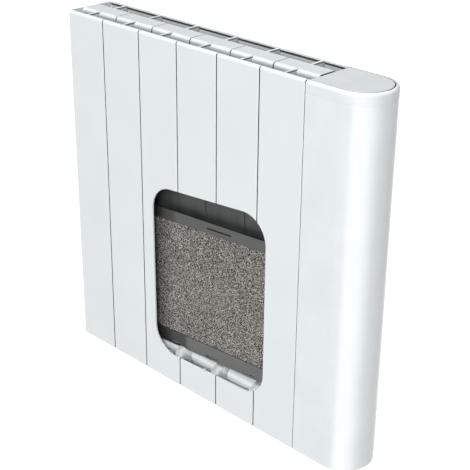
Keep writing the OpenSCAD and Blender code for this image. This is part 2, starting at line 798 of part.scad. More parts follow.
// Places of the posts that carry the control board under the deck
module control_posts() {
    for (x = [round_x - 46, round_x + 12], y = [housing_r - 25, housing_r + 25]) translate([x, y, 0]) children();
}

// Places of the deck's screws, over bosses on the rim
module deck_screw_places() {
    for (side = [-1, 1]) {
        translate([round_x + boss_reach * cos(45), housing_r + side * boss_reach * sin(45), 0]) children();
        translate([round_x - 44, housing_r + side * boss_reach, 0]) children();
    }
}

// Screws that hold the deck on its ledge
module deck_screws() {
    color([0.30, 0.30, 0.31]) from_corner() deck_screw_places() {
        bar_z(screw_head_r, deck_z0 + deck_t - 1 + seat, deck_z0 + deck_t, 0, 0);
        bar_z(screw_r, deck_z0 - 6, deck_z0 + deck_t - 0.5, 0, 0);
    }
}

// Lid over the control deck: a plate with a round end and a hinge barrel along its straight edge
module lid() {
    color([0.87, 0.88, 0.88]) from_corner() difference() {
        union() {
            box([hinge_x, housing_r - lid_r, height - lid_t], [round_x, housing_r + lid_r, height]);
            intersection() {
                bar_z(lid_r, height - lid_t, height, round_x, housing_r);
                box([round_x - 1, 0, 0], [total_w, housing_depth, height + 1]);
            }
            bar_y(lid_t, housing_r - lid_r, housing_r + lid_r, hinge_x, hinge_z);
        }
        bar_y(pin_r + running, -1, housing_depth + 1, hinge_x, hinge_z);
    }
}

// Steel pin of the lid's hinge, held in the shell's rim
module lid_hinge_pin() {
    color([0.70, 0.71, 0.72]) from_corner()
        bar_y(pin_r, housing_r - opening_r - pin_hold + 0.3, housing_r + opening_r + pin_hold - 0.3, hinge_x, hinge_z);
}

// Liquid crystal display under the deck's opening
module display() {
    color([0.10, 0.13, 0.14]) from_corner()
        box([display_at[0] - 2, display_at[1] - 2, control_z + board_t + seat],
            [display_at[0] + display_size[0] + 2, display_at[1] + display_size[1] + 2, deck_z0]);
}

// Clear lens let into the deck over the display
module display_lens() {
    color([0.55, 0.65, 0.68]) from_corner()
        box([display_at[0] + seat, display_at[1] + seat, deck_z0 + seat],
            [display_at[0] + display_size[0] - seat, display_at[1] + display_size[1] - seat, deck_z0 + deck_t]);
}

// Control board with a small switch under each button
module control_board() {
    color([0.10, 0.35, 0.22]) from_corner() difference() {
        union() {
            box([round_x - 50, housing_r - 28, control_z], [round_x + 16, housing_r + 28, control_z + board_t]);
            box([round_x + 15, housing_r - 8, control_z], [round_x + 26, housing_r + 8, control_z + board_t]);
            for (p = button_at) box([p[0] - 3, p[1] - 3, control_z + board_t - 0.2],
                [p[0] + 3, p[1] + 3, key_top]);
        }
        for (p = button_at) bar_z(stem_r + 0.3, stem_z0 - button_travel - seat, key_top + 1, p[0], p[1]);
        control_posts() bar_z(board_screw_r + seat, control_z - 1, control_z + board_t + 1, 0, 0);
    }
}

// Push button: cap, retaining flange and stem
module button(i) {
    p = button_at[i];
    top = deck_z0 + deck_t + button_rise;
    color(i == 0 ? [0.75, 0.25, 0.20] : [0.85, 0.86, 0.86]) from_corner() {
        bar_z(button_r, deck_z0 - seat - button_flange_t, top, p[0], p[1]);
        bar_z(button_r + 1.3, deck_z0 - seat - button_flange_t, deck_z0 - seat, p[0], p[1]);
        bar_z(stem_r, stem_z0, deck_z0, p[0], p[1]);
    }
}

// Power board on the chassis plate
module power_board() {
    color([0.10, 0.35, 0.22]) from_corner() difference() {
        box([board_x0, power_y[0], power_z[0]], [board_x0 + board_t, power_y[1], power_z[1]]);
        board_posts() bar_x(board_screw_r + seat, board_x0 - 1, board_x0 + board_t + 1, 0, 0);
    }
}

// Small screws of both boards and of the terminal block
module board_screws() {
    color([0.70, 0.71, 0.72]) from_corner() {
        board_posts() {
            bar_x(small_head_r, board_x0 + board_t + seat, board_x0 + board_t + seat + small_head_t, 0, 0);
            bar_x(board_screw_r, board_x0 - 4, board_x0 + board_t + 0.5, 0, 0);
        }
        control_posts() {
            bar_z(small_head_r, control_z - seat - small_head_t, control_z - seat, 0, 0);
            bar_z(board_screw_r, control_z - 0.5, control_z + board_t + 5, 0, 0);
        }
        translate([0, heater_y + 9, terminal_z()]) {
            bar_x(small_head_r, board_x0 + 14 + seat, board_x0 + 14 + seat + small_head_t, 0, 0);
            bar_x(board_screw_r, board_x0 - 4, board_x0 + 14.5, 0, 0);
        }
    }
}

// Relay that switches the heating rod
module relay() {
    color([0.15, 0.30, 0.55]) from_corner()
        translate([board_x0 + board_t + seat, relay_at[0], relay_at[1]]) cube(relay_size);
}

// Smoothing capacitor of the board's supply
module capacitor() {
    color([0.25, 0.27, 0.30]) from_corner()
        bar_x(capacitor_r, board_x0 + board_t + seat, board_x0 + board_t + seat + capacitor_l,
            capacitor_at[0], capacitor_at[1]);
}

// Terminal block of the heating rod's leads
module terminal_block() {
    z = terminal_z();
    color([0.88, 0.87, 0.82]) from_corner() difference() {
        box([board_x0, heater_y - 7, z - 30], [board_x0 + 14, heater_y + 13, z + 30]);
        for (v = [heater_inner, heater_outer])
            bar_x(lead_r + 0.5, board_x0 - 1, board_x0 + 6, heater_y, core_at(v, board_x0 + 2));
        bar_x(board_screw_r + seat, board_x0 - 1, board_x0 + 15, heater_y + 9, z);
    }
}

// Flat cable between the control board and the power board
module ribbon_cable() {
    color([0.70, 0.70, 0.72]) from_corner()
        box([board_x0 + board_t + seat, ribbon_y, power_z[1] - ribbon_w],
            [board_x0 + board_t + seat + ribbon_t, ribbon_y + ribbon_w, control_z - seat]);
}

// Cap that closes the housing's foot, with the openings for switch, gland and sensor
module bottom_cap() {
    color([0.30, 0.31, 0.32]) from_corner() difference() {
        intersection() {
            round_ended(chassis_x1 + 0.2, cap_r, cap_z0, cap_z0 + cap_t);
            box([0, 0, 0], [total_w, housing_depth, height]);
        }
        for (b = cap_boss) bar_z(screw_r + seat, cap_z0 - 1, cap_z0 + cap_t + 1, b[0], b[1]);
        box([switch_at[0] - switch_size[0] / 2 - seat, switch_at[1] - switch_size[1] / 2 - seat, 0],
            [switch_at[0] + switch_size[0] / 2 + seat, switch_at[1] + switch_size[1] / 2 + seat, 20]);
        bar_z(gland_r - 1.5 + seat, 0, 20, gland_at[0], gland_at[1]);
        bar_z(sensor_r + seat, 0, 20, sensor_at[0], sensor_at[1]);
        for (x = [round_x - 16, round_x - 10, round_x - 4], y = [housing_r - 24, housing_r + 12])
            box([x, y, 0], [x + 3, y + 12, 20]);
    }
}

// Screws of the bottom cap
module bottom_cap_screws() {
    color([0.70, 0.71, 0.72]) from_corner() for (b = cap_boss) {
        bar_z(screw_head_r, cap_z0 - pan_head_t - seat, cap_z0 - seat, b[0], b[1]);
        bar_z(screw_r, cap_z0 - 1, cap_z0 + cap_t + cap_boss_l, b[0], b[1]);
    }
}

// Body of the mains switch, open below for the rocker, with pivot holes
module switch_body() {
    half = switch_size / 2;
    cavity = rocker_size / 2 + [0.4, 0.4];
    color([0.12, 0.12, 0.13]) from_corner() translate([switch_at[0], switch_at[1], cap_z0]) difference() {
        union() {
            box([-half[0], -half[1], -1], [half[0], half[1], switch_deep]);
            box([-half[0] - 1.5, -half[1] - 1.5, -1.5], [half[0] + 1.5, half[1] + 1.5, -seat]);
        }
        box([-cavity[0], -cavity[1], -3], [cavity[0], cavity[1], 8]);
        bar_x(rocker_pin_r + running, -half[0] + 0.8, half[0] - 0.8, 0, 2);
    }
}

// Rocker of the mains switch, tilted to its off position
module switch_rocker() {
    half = rocker_size / 2;
    color([0.12, 0.12, 0.13]) from_corner() translate([switch_at[0], switch_at[1], cap_z0 + 2]) rotate([rocker_rest, 0, 0]) {
        intersection() {
            box([-half[0], -half[1], -4.2], [half[0], half[1], 2.5]);
            bar_x(half[1] - 0.2, -half[0], half[0], 0, 0);
        }
        bar_x(rocker_pin_r, -switch_size[0] / 2 + 1, switch_size[0] / 2 - 1, 0, 0);
    }
}

// Cable gland in the bottom cap, open for a cord
module cable_gland() {
    color([0.12, 0.12, 0.13]) from_corner() translate([gland_at[0], gland_at[1], 0]) difference() {
        union() {
            bar_z(gland_r - 1.5, cap_z0 - 5, cap_z0 + gland_length - 5, 0, 0);
            bar_z(gland_r, cap_z0 - 5, cap_z0 - seat, 0, 0);
        }
        bar_z(gland_bore_r, 0, 60, 0, 0);
    }
}

// Nut that holds the gland from inside
module gland_nut() {
    color([0.12, 0.12, 0.13]) from_corner() translate([gland_at[0], gland_at[1], cap_z0 + cap_t + seat]) difference() {
        cylinder(r = gland_r + 2, h = 5, $fn = 6);
        translate([0, 0, -1]) cylinder(r = gland_r - 1.5 + running, h = 7);
    }
}

// Room temperature sensor in the bottom cap
module room_sensor() {
    color([0.85, 0.85, 0.80]) from_corner() {
        bar_z(sensor_r, cap_z0 - 1, cap_z0 + 16, sensor_at[0], sensor_at[1]);
        bar_z(sensor_r + 1.2, cap_z0 + cap_t + seat, cap_z0 + cap_t + 3, sensor_at[0], sensor_at[1]);
    }
}

// Wall bracket: an upright strip with screw slots, a hook above and a spacer arm below
module wall_bracket(x) {
    strip_y0 = wall_y - bracket_t;
    arm_x = [x - bracket_t / 2, x + bracket_t / 2];
    hook_foot = hook_z - hook_h + hook_lip;
    color([0.88, 0.89, 0.89]) from_corner() difference() {
        union() {
            box([x - bracket_w / 2, strip_y0, screw_foot - 20], [x + bracket_w / 2, wall_y, screw_foot + screw_span + 20]);
            box([arm_x[0], rear_y0 - seat - hook_tip, hook_foot], [arm_x[1], strip_y0 + 0.5, hook_z + hook_lip]);
            box([arm_x[0], element_depth + pad_t + 2 * seat, spacer_z - hook_h / 2],
                [arm_x[1], strip_y0 + 0.5, spacer_z + hook_h / 2]);
        }
        box([x - bracket_t, rear_y0 - seat, hook_z - seat], [x + bracket_t, element_depth + seat, height]);
        for (z = [screw_foot, screw_foot + screw_span]) {
            for (dx = [-1, 1]) bar_y(slot_r, strip_y0 - 1, wall_y + 1, x + dx * (slot_length / 2 - slot_r), z);
            box([x - slot_length / 2 + slot_r, strip_y0 - 1, z - slot_r], [x + slot_length / 2 - slot_r, wall_y + 1, z + slot_r]);
        }
    }
}

// Rubber pads on the spacer arms, against the rear plates
module bracket_pads() {
    color([0.15, 0.15, 0.15]) from_corner() for (x = bracket_xs)
        box([x - pad_r, element_depth + seat, spacer_z - hook_h / 2 - 2],
            [x + pad_r, element_depth + seat + pad_t, spacer_z + hook_h / 2 + 2]);
}

element(1);  // element_1
element(2);  // element_2
element(3);  // element_3
element(4);  // element_4
element(5);  // element_5
element(6);  // element_6
end_cover();
end_cover_screws();
joint_collars(hub_low_z);  // joint_collars_lower
joint_collars(hub_high_z);  // joint_collars_upper
tie_rod(hub_low_z);  // tie_rod_lower
tie_rod(hub_high_z);  // tie_rod_upper
tie_rod_nuts();
stone_core();
core_rail_upper();
core_rail_lower();
core_back_plate();
core_screws();
heating_rod();
core_leads();
lead_grommets();
thermal_cutout();
housing_shell();
top_frame();
chassis_plate();
shell_screws();
control_deck();
deck_screws();
lid();
lid_hinge_pin();
display();
display_lens();
control_board();
button(0);  // button_power
button(1);  // button_minus
button(2);  // button_mode
button(3);  // button_plus
power_board();
board_screws();
relay();
capacitor();
terminal_block();
ribbon_cable();
bottom_cap();
bottom_cap_screws();
switch_body();
switch_rocker();
cable_gland();
gland_nut();
room_sensor();
wall_bracket(bracket_xs[0]);  // wall_bracket_left
wall_bracket(bracket_xs[1]);  // wall_bracket_right
bracket_pads();
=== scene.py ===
"""Looks of a wall-hung electric radiator with a cutaway window, put together from its frame outwards."""
import math

import bpy
import numpy as np
from mathutils import Matrix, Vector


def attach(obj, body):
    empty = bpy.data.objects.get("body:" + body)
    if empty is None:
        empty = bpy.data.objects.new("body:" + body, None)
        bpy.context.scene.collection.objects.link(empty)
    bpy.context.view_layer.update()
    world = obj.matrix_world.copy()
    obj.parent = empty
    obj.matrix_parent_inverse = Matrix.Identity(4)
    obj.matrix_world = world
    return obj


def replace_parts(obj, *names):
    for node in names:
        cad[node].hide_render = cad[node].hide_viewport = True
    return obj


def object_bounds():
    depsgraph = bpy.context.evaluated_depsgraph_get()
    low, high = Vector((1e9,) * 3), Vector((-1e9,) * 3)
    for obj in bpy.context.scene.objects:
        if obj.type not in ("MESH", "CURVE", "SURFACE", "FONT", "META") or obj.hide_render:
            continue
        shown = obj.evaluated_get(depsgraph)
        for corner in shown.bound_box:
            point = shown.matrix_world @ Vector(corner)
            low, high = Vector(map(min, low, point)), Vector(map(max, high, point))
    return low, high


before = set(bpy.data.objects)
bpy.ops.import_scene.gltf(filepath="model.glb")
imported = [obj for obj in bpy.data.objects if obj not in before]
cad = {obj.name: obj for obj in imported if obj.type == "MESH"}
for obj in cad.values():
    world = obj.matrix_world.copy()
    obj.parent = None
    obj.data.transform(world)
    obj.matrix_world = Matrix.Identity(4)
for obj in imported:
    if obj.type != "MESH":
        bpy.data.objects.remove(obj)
cad_box = [list(corner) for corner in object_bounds()]

# ---------------------------------------------------------------------------------------------
# Elements: six hollow aluminium profiles with flat front plates, and the cover let in at the
# left end. They are sprayed with white powder and baked, which leaves a very fine orange peel.

element_nodes = ["element_1", "element_2", "element_3", "element_4", "element_5", "element_6", "end_cover"]
powder_white = (0.785, 0.835, 0.838, 1.0)
peel_per_metre = 620.0
powder_roughness = 0.20
element_pitch = 0.080
corner = (-0.240, -0.112, -0.295)
height = 0.560
plate_depth = 0.0024
rear_plate_front = 0.083
body_front, body_rear = 0.0266, 0.0570
hub_axis = (0.027, 0.052)
hub_radius = 0.0130
end_cover_back = 0.0022
web_faces = 0.0385
# Shares of the elements' powder colour: painted shade in channels, joints, flat tops and on webs, a painted shadow
# under the rear lip, and a painted highlight on the hubs and the rear lip.
channel_painted_shade = 0.42
joint_painted_shade = 0.08
top_painted_shade = 0.93
lip_painted_shadow = 0.10
web_painted_shade = 0.25
hub_and_lip_painted_highlight = 1.19
drift_span = (0.3, 0.7)


def put(tree, kind, sockets=(), **settings):
    """One shader node: its settings, then its inputs, each a plain value or another node's output."""
    made = tree.nodes.new(kind)
    for name, value in settings.items():
        setattr(made, name, value)
    for name, value in dict(sockets).items():
        if isinstance(value, bpy.types.NodeSocket):
            tree.links.new(value, made.inputs[name])
        else:
            made.inputs[name].default_value = value
    return made


def calc(tree, operation, *values):
    """One arithmetic node on plain values or other nodes' outputs."""
    return put(tree, "ShaderNodeMath", dict(enumerate(values)), operation=operation).outputs["Value"]


def ramp(tree, value, low, high, start=0.0, end=1.0):
    """Goes evenly from start to end while the value goes from low to high, and stays level outside."""
    return put(tree, "ShaderNodeMapRange", {"Value": value, "From Min": low, "From Max": high, "To Min": start,
                                            "To Max": end}).outputs["Result"]


def times(tree, product, *values):
    """The product of plain values or other nodes' outputs."""
    for value in values:
        product = calc(tree, "MULTIPLY", product, value)
    return product


def shaded(tree, colour, share):
    """A colour times a number."""
    return put(tree, "ShaderNodeVectorMath", {0: colour, "Scale": share}, operation="SCALE").outputs["Vector"]


def part_axes(tree):
    """Where a point lies in the part's frame, as the outputs X, Y and Z."""
    place = put(tree, "ShaderNodeTexCoord").outputs["Object"]
    return put(tree, "ShaderNodeSeparateXYZ", {"Vector": place}).outputs


def new_effect(name, inputs, outputs):
    """An empty node group with named inputs (name, kind, value) and outputs (name, kind)."""
    effect = bpy.data.node_groups.new(name, "ShaderNodeTree")
    for label, kind, value in inputs:
        effect.interface.new_socket(label, in_out="INPUT", socket_type=kind).default_value = value
    for label, kind in outputs:
        effect.interface.new_socket(label, in_out="OUTPUT", socket_type=kind)
    return effect, put(effect, "NodeGroupInput").outputs, put(effect, "NodeGroupOutput")


def new_finish(name, roughness=0.5, metallic=0.0, specular=0.5):
    """An empty material with one Principled shader, its constant sockets set."""
    made = bpy.data.materials.new(name)
    made.use_nodes = True
    tree = made.node_tree
    tree.nodes.clear()
    shader = put(tree, "ShaderNodeBsdfPrincipled", {"Roughness": roughness, "Metallic": metallic,
                                                    "Specular IOR Level": specular})
    put(tree, "ShaderNodeOutputMaterial", {"Surface": shader.outputs["BSDF"]})
    return made, tree, shader


def raise_surface(tree, shader, level, depth):
    """Feeds a level, from 0 to 1, to the shader as a bump of that depth in metres."""
    bump = put(tree, "ShaderNodeBump", {"Height": level, "Distance": depth, "Strength": 1.0})
    tree.links.new(bump.outputs["Normal"], shader.inputs["Normal"])


def use_effect(tree, effect, values=()):
    """Places a node group in a material with its own values."""
    made = tree.nodes.new("ShaderNodeGroup")
    made.node_tree = effect
    for name, value in dict(values).items():
        made.inputs[name].default_value = value
    return made.outputs


def build_orange_peel():
    """Sprayed powder: a fine pebbled height, a faint drift of the tone and of the gloss."""
    effect, given, result = new_effect("orange_peel", [
        ("Colour", "NodeSocketColor", (0.8, 0.8, 0.8, 1.0)), ("Pebbles", "NodeSocketFloat", 600.0),
        ("Gloss", "NodeSocketFloat", 0.36)],
        [("Colour", "NodeSocketColor"), ("Roughness", "NodeSocketFloat"), ("Height", "NodeSocketFloat")])
    place = put(effect, "ShaderNodeTexCoord").outputs["Object"]
    pebbles = put(effect, "ShaderNodeTexNoise", {"Vector": place, "Scale": given["Pebbles"], "Detail": 1.5})
    drift = put(effect, "ShaderNodeTexNoise", {"Vector": place, "Scale": 9.0, "Detail": 3.0})
    shade = ramp(effect, drift.outputs["Fac"], *drift_span, 0.975, 1.015)
    gloss = calc(effect, "MULTIPLY_ADD", drift.outputs["Fac"], 0.10, given["Gloss"])
    for name, value in (("Colour", shaded(effect, given["Colour"], shade)), ("Roughness", gloss),
                        ("Height", pebbles.outputs["Fac"])):
        effect.links.new(value, result.inputs[name])
    return effect


def build_painted_shade_and_highlight():
    """Painted light and shade as a share of the powder's colour, with places measured from the radiator's lower left
    front corner: painted shade down the channels behind the end cover, near their top and their foot, on the faces
    of a joint within 1 mm of every whole pitch and high on the webs' faces, and a painted shadow under the rear lip.
    The flat tops of the bodies are darkened a little as painted shade, so that the narrow tops beside them read as
    highlights, and the round hubs, the rear lip and the tops behind the bodies are lifted as a painted highlight."""
    effect, given, result = new_effect("painted_shade_and_highlight", [
        ("Channel", "NodeSocketFloat", 0.6), ("Joint", "NodeSocketFloat", 0.2), ("Top", "NodeSocketFloat", 0.8),
        ("Lip", "NodeSocketFloat", 0.2), ("Web", "NodeSocketFloat", 0.3), ("Hub", "NodeSocketFloat", 1.1)],
        [("Painted_light", "NodeSocketFloat")])
    spot = part_axes(effect)
    x, y, z = (calc(effect, "SUBTRACT", spot[axis], start) for axis, start in zip("XYZ", corner))

    def both(*masks):
        """Where all of the masks are."""
        return times(effect, *masks)

    behind_cover = ramp(effect, x, end_cover_back, end_cover_back + 0.0008)
    inside = both(behind_cover, ramp(effect, y, plate_depth + 0.0004, plate_depth + 0.0020),
                  ramp(effect, y, rear_plate_front + 0.0004, rear_plate_front - 0.0004))
    above = both(ramp(effect, z, height - 0.0026, height - 0.0105), ramp(effect, z, 0.36, 0.42))
    below = both(ramp(effect, z, 0.002, 0.012), ramp(effect, z, 0.034, 0.028))
    from_seam = calc(effect, "PINGPONG", x, element_pitch / 2)
    seam = both(ramp(effect, from_seam, 0.00084, 0.00108, 1.0, 0.0),
                ramp(effect, x, 0.010, 0.012), ramp(effect, y, 0.076, 0.075),
                calc(effect, "MAXIMUM", ramp(effect, z, height - 0.0002, height - 0.0010),
                     ramp(effect, y, body_front + 0.0030, body_front + 0.0050, 0.0, 0.5)))
    web = both(inside, ramp(effect, from_seam, web_faces - 0.0003, web_faces - 0.0001),
               ramp(effect, z, height - 0.0004, height - 0.0009), ramp(effect, z, height - 0.0031, height - 0.0023))
    top = both(ramp(effect, y, body_front + 0.0026, body_front + 0.0040),
               ramp(effect, z, height - 0.0014, height - 0.0008),
               ramp(effect, y, body_rear - 0.0014, body_rear - 0.0024))
    under_lip = both(ramp(effect, y, rear_plate_front - 0.0020, rear_plate_front - 0.0010),
                     ramp(effect, y, rear_plate_front + 0.0015, rear_plate_front + 0.0008),
                     ramp(effect, z, height - 0.0020, height - 0.0022),
                     ramp(effect, z, height - 0.0060, height - 0.0050))
    edge = both(ramp(effect, y, body_rear - 0.0006, body_rear), ramp(effect, z, height - 0.0032, height - 0.0022))
    away = [calc(effect, "SUBTRACT", value, middle) for value, middle in zip((y, z), hub_axis)]
    from_axis = calc(effect, "SQRT", calc(effect, "ADD", *(calc(effect, "MULTIPLY", value, value) for value in away)))
    hub = both(behind_cover, ramp(effect, from_axis, hub_radius + 0.0006, hub_radius + 0.0003))
    # Each mask scales the colour by its share: under one for painted shade and shadow, over one for painted
    # highlight.
    painted_share = 1.0
    for mask, label in ((both(inside, calc(effect, "ADD", above, below)), "Channel"), (seam, "Joint"), (top, "Top"),
                        (under_lip, "Lip"), (web, "Web"), (calc(effect, "MAXIMUM", hub, edge), "Hub")):
        change = calc(effect, "SUBTRACT", given[label], 1.0)
        painted_share = calc(effect, "MULTIPLY", painted_share, calc(effect, "MULTIPLY_ADD", mask, change, 1.0))
    effect.links.new(painted_share, result.inputs["Painted_light"])
    return effect


orange_peel = build_orange_peel()
painted_shade_and_highlight = build_painted_shade_and_highlight()


def powder_coat(name, colour, pebbles, gloss, depth, painted_shares=None):
    """A powder-coated finish of one colour, scaled by painted light and shade where shares for it are given."""
    made, tree, shader = new_finish(name)
    coat = use_effect(tree, orange_peel, {"Colour": colour, "Pebbles": pebbles, "Gloss": gloss})
    tone = coat["Colour"]
    if painted_shares:
        tone = shaded(tree, tone, use_effect(tree, painted_shade_and_highlight, painted_shares)["Painted_light"])
    tree.links.new(tone, shader.inputs["Base Color"])
    tree.links.new(coat["Roughness"], shader.inputs["Roughness"])
    raise_surface(tree, shader, coat["Height"], depth)
    return made


def finish_node(name, finish):
    """Gives a node of the frame its finish, in its own material slot."""
    cad[name].data.materials.clear()
    cad[name].data.materials.append(finish)


# The elements' powder carries painted shade in channels, joints and under the rear lip, and painted highlights on
# hubs and lip.
powder_and_painted_light = powder_coat("element_powder_and_painted_light", powder_white, peel_per_metre, powder_roughness, 0.00003, {
    "Channel": channel_painted_shade, "Joint": joint_painted_shade, "Top": top_painted_shade, "Lip": lip_painted_shadow, "Web": web_painted_shade,
    "Hub": hub_and_lip_painted_highlight})
for name in element_nodes:
    finish_node(name, powder_and_painted_light)

# ---------------------------------------------------------------------------------------------
# Wall brackets: two strips of folded steel with hooks, screwed to the wall. They have the same
# powder coat, but duller.

bracket_powder = powder_coat("bracket_powder_coat", (0.78, 0.80, 0.80, 1.0), 480.0, 0.44, 0.00004)
for name in ["wall_bracket_left", "wall_bracket_right"]:
    finish_node(name, bracket_powder)

# ---------------------------------------------------------------------------------------------
# Joint collars: aluminium die castings on the hubs between the elements, blasted and left bare.
# Each has a low parting ridge and a blunt lug towards the front.

blasted_grain = 1500.0


def build_bare_metal():
    """Bare metal: a grain stretched along an axis by three factors, with a slow drift in its tone."""
    effect, given, result = new_effect("bare_metal", [
        ("Colour", "NodeSocketColor", (0.6, 0.6, 0.6, 1.0)), ("Grain", "NodeSocketFloat", 1500.0),
        ("Stretch", "NodeSocketVector", (1.0, 1.0, 1.0)), ("Gloss", "NodeSocketFloat", 0.4),
        ("Contrast", "NodeSocketFloat", 0.1)],
        [("Colour", "NodeSocketColor"), ("Roughness", "NodeSocketFloat"), ("Height", "NodeSocketFloat")])
    place = put(effect, "ShaderNodeTexCoord").outputs["Object"]
    drawn = put(effect, "ShaderNodeVectorMath", {0: place, 1: given["Stretch"]}, operation="MULTIPLY")
    grain = put(effect, "ShaderNodeTexNoise", {"Vector": drawn.outputs["Vector"], "Scale": given["Grain"],
                                               "Detail": 2.0})
    drift = put(effect, "ShaderNodeTexNoise", {"Vector": place, "Scale": 35.0, "Detail": 4.0})
    centred = calc(effect, "ADD", calc(effect, "ADD", grain.outputs["Fac"], drift.outputs["Fac"]), -1.0)
    shade = calc(effect, "MULTIPLY_ADD", centred, given["Contrast"], 1.0)
    gloss = calc(effect, "MULTIPLY_ADD", centred, 0.15, given["Gloss"])
    for name, value in (("Colour", shaded(effect, given["Colour"], shade)), ("Roughness", gloss),
                        ("Height", grain.outputs["Fac"])):
        effect.links.new(value, result.inputs[name])
    return effect


bare_metal = build_bare_metal()


def metal(name, colour, grain, stretch, gloss, contrast, depth, metallic=1.0, shadow_at_left=None):
    """A bare metal finish; the stretch is small along the rolling direction. A painted shadow at the left, where it
    is given, is the tone left of one place on X, that place, and a second place by which it clears up."""
    made, tree, shader = new_finish(name, metallic=metallic)
    worked = use_effect(tree, bare_metal, {"Colour": colour, "Grain": grain, "Stretch": stretch, "Gloss": gloss,
                                           "Contrast": contrast})
    tone = worked["Colour"]
    if shadow_at_left:
        shadow_tone, start, end = shadow_at_left
        tone = shaded(tree, tone, ramp(tree, part_axes(tree)["X"], start, end, shadow_tone, 1.0))
    tree.links.new(tone, shader.inputs["Base Color"])
    tree.links.new(worked["Roughness"], shader.inputs["Roughness"])
    raise_surface(tree, shader, worked["Height"], depth)
    return made


def grid_faces(rows, columns, first=0, flip=False, wrap_rows=False, wrap_columns=False):
    """Four-sided faces of a grid of points kept row after row; a wrap joins its last line to its first."""
    r = np.arange(rows if wrap_rows else rows - 1)
    c = np.arange(columns if wrap_columns else columns - 1)
    r, c = [x.ravel() for x in np.meshgrid(r, c, indexing="ij")]
    r1, c1 = (r + 1) % rows, (c + 1) % columns
    quads = np.stack([r * columns + c, r * columns + c1, r1 * columns + c1, r1 * columns + c], 1) + first
    return (quads[:, ::-1] if flip else quads).tolist()


def skin(outlines):
    """Closed outlines laid one after another and joined by four-sided faces, each end closed by a fan to its
    middle. Where the volume, a sixth of the sum of a.(b x c) over the triangles, is negative, all faces turn."""
    rows, columns = outlines.shape[:2]
    points = np.concatenate([outlines.reshape(-1, 3), outlines[0].mean(0)[None], outlines[-1].mean(0)[None]])
    sides = np.array(grid_faces(rows, columns, wrap_columns=True))
    here = np.arange(columns)
    after = (here + 1) % columns
    start = np.stack([here * 0 + rows * columns, after, here], 1)
    end = np.stack([here * 0 + rows * columns + 1, here + (rows - 1) * columns, after + (rows - 1) * columns], 1)
    triangles = np.concatenate([sides[:, [0, 1, 2]], sides[:, [0, 2, 3]], start, end])
    a, b, c = (points[triangles[:, k]] for k in range(3))
    turn = -1 if np.einsum("ij,ij->", a - points[0], np.cross(b - points[0], c - points[0])) < 0 else 1
    return points, sides[:, ::turn].tolist() + start[:, ::turn].tolist() + end[:, ::turn].tolist()


def together(parts):
    """Several skins as one mesh, and the number of the part that each face came from."""
    first = np.cumsum([0] + [len(points) for points, _ in parts])
    faces = [[k + first[i] for k in face] for i, (_, own) in enumerate(parts) for face in own]
    owner = [i for i, (_, own) in enumerate(parts) for _ in own]
    return np.concatenate([points for points, _ in parts]), faces, owner


def new_piece(name, points, faces, finishes, body, smooth=True, faces_finish=None, crease=None):
    """Puts points and faces into a mesh of their own, gives it its finishes and lets it ride on a body. Edges
    that bend by more than the crease, in degrees, stay sharp."""
    mesh = bpy.data.meshes.new(name)
    mesh.from_pydata(np.asarray(points).tolist(), [], faces)
    mesh.polygons.foreach_set("use_smooth", np.full(len(mesh.polygons), smooth))
    for finish in finishes:
        mesh.materials.append(finish)
    if faces_finish is not None:
        mesh.polygons.foreach_set("material_index", faces_finish)
    if crease is not None:
        mesh.set_sharp_from_angle(angle=math.radians(crease))
    mesh.update()
    made = bpy.data.objects.new(name, mesh)
    bpy.context.scene.collection.objects.link(made)
    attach(made, body)
    return made


def from_corner(x, y, z):
    """A place in millimetres from the radiator's lower left front corner, in metres from the part's origin."""
    return np.stack(np.broadcast_arrays(np.asarray(x) / 1000 + corner[0], np.asarray(y) / 1000 + corner[1],
                                        np.asarray(z) / 1000 + corner[2]), -1)


hub_y = 27.0
hub_heights = {"lower": 52.0, "upper": 508.0}
collar_radius = 15.2
saddle_y = 11.2
saddle_radius = 9.3
collar_reach = (-13.0, 10.4)
collar_round = 2.2
collar_taper = 2.0
taper_start = -3.0
ridge_along, ridge_inset = [-6.2, -5.6, -4.4, -3.8], [0.0, -0.35, -0.35, 0.0]
collar_seams = np.arange(1, 6) * 80.0


def collar_outline(z, shrink, sunk):
    """Outline round a large and a small circle, the small one sunk into the large one by a share: in each
    direction t it is the point of the circle that lies farthest that way, its centre plus its radius times
    (cos t, sin t)."""
    t = np.linspace(0, 2 * math.pi, 96, endpoint=False)
    way = np.stack([np.cos(t), np.sin(t)], -1)
    large = np.array([hub_y, z]) + (collar_radius - shrink) * way
    small = np.array([saddle_y + (hub_y - saddle_y) * sunk, z]) + (saddle_radius - shrink) * way
    return np.where((np.sum(large * way, -1) > np.sum(small * way, -1))[:, None], large, small)


def collar_skin(seam, z):
    """The outline carried along X: drawn in by a quarter circle at its left end, raised by a low parting ridge,
    and tapered at its right end, by half a cosine wave, down to the round hub that it takes."""
    turn = np.linspace(0, math.pi / 2, 7)
    slide = np.linspace(0, 1, 16)
    sunk = np.concatenate([np.zeros(len(turn) + len(ridge_along)), (1 - np.cos(math.pi * slide)) / 2])
    x0, x1 = collar_reach
    inset = np.concatenate([collar_round * (1 - np.sin(turn)), ridge_inset, collar_taper * sunk[-len(slide):]])
    along = np.concatenate([x0 + collar_round * (1 - np.cos(turn)), ridge_along,
                            taper_start + (x1 - taper_start) * slide])
    return skin(np.stack([from_corner(seam + u, *collar_outline(z, shrink, share).T)
                          for u, shrink, share in zip(along, inset, sunk)]))


blasted = metal("blasted_aluminium", (0.57, 0.605, 0.605, 1.0), blasted_grain, (1, 1, 1), 0.60, 0.55, 0.00012, 0.25)
for level, z in hub_heights.items():
    points, faces, _ = together([collar_skin(seam, z) for seam in collar_seams])
    castings = new_piece("collar_castings_" + level, points, faces, [blasted], "radiator",
                         crease=40)
    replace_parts(castings, "joint_collars_" + level)

# ---------------------------------------------------------------------------------------------
# Tie rods, nuts and plain steel fixings: zinc-plated steel, grey and dull. The rods
# run through the hubs and clamp the elements together.

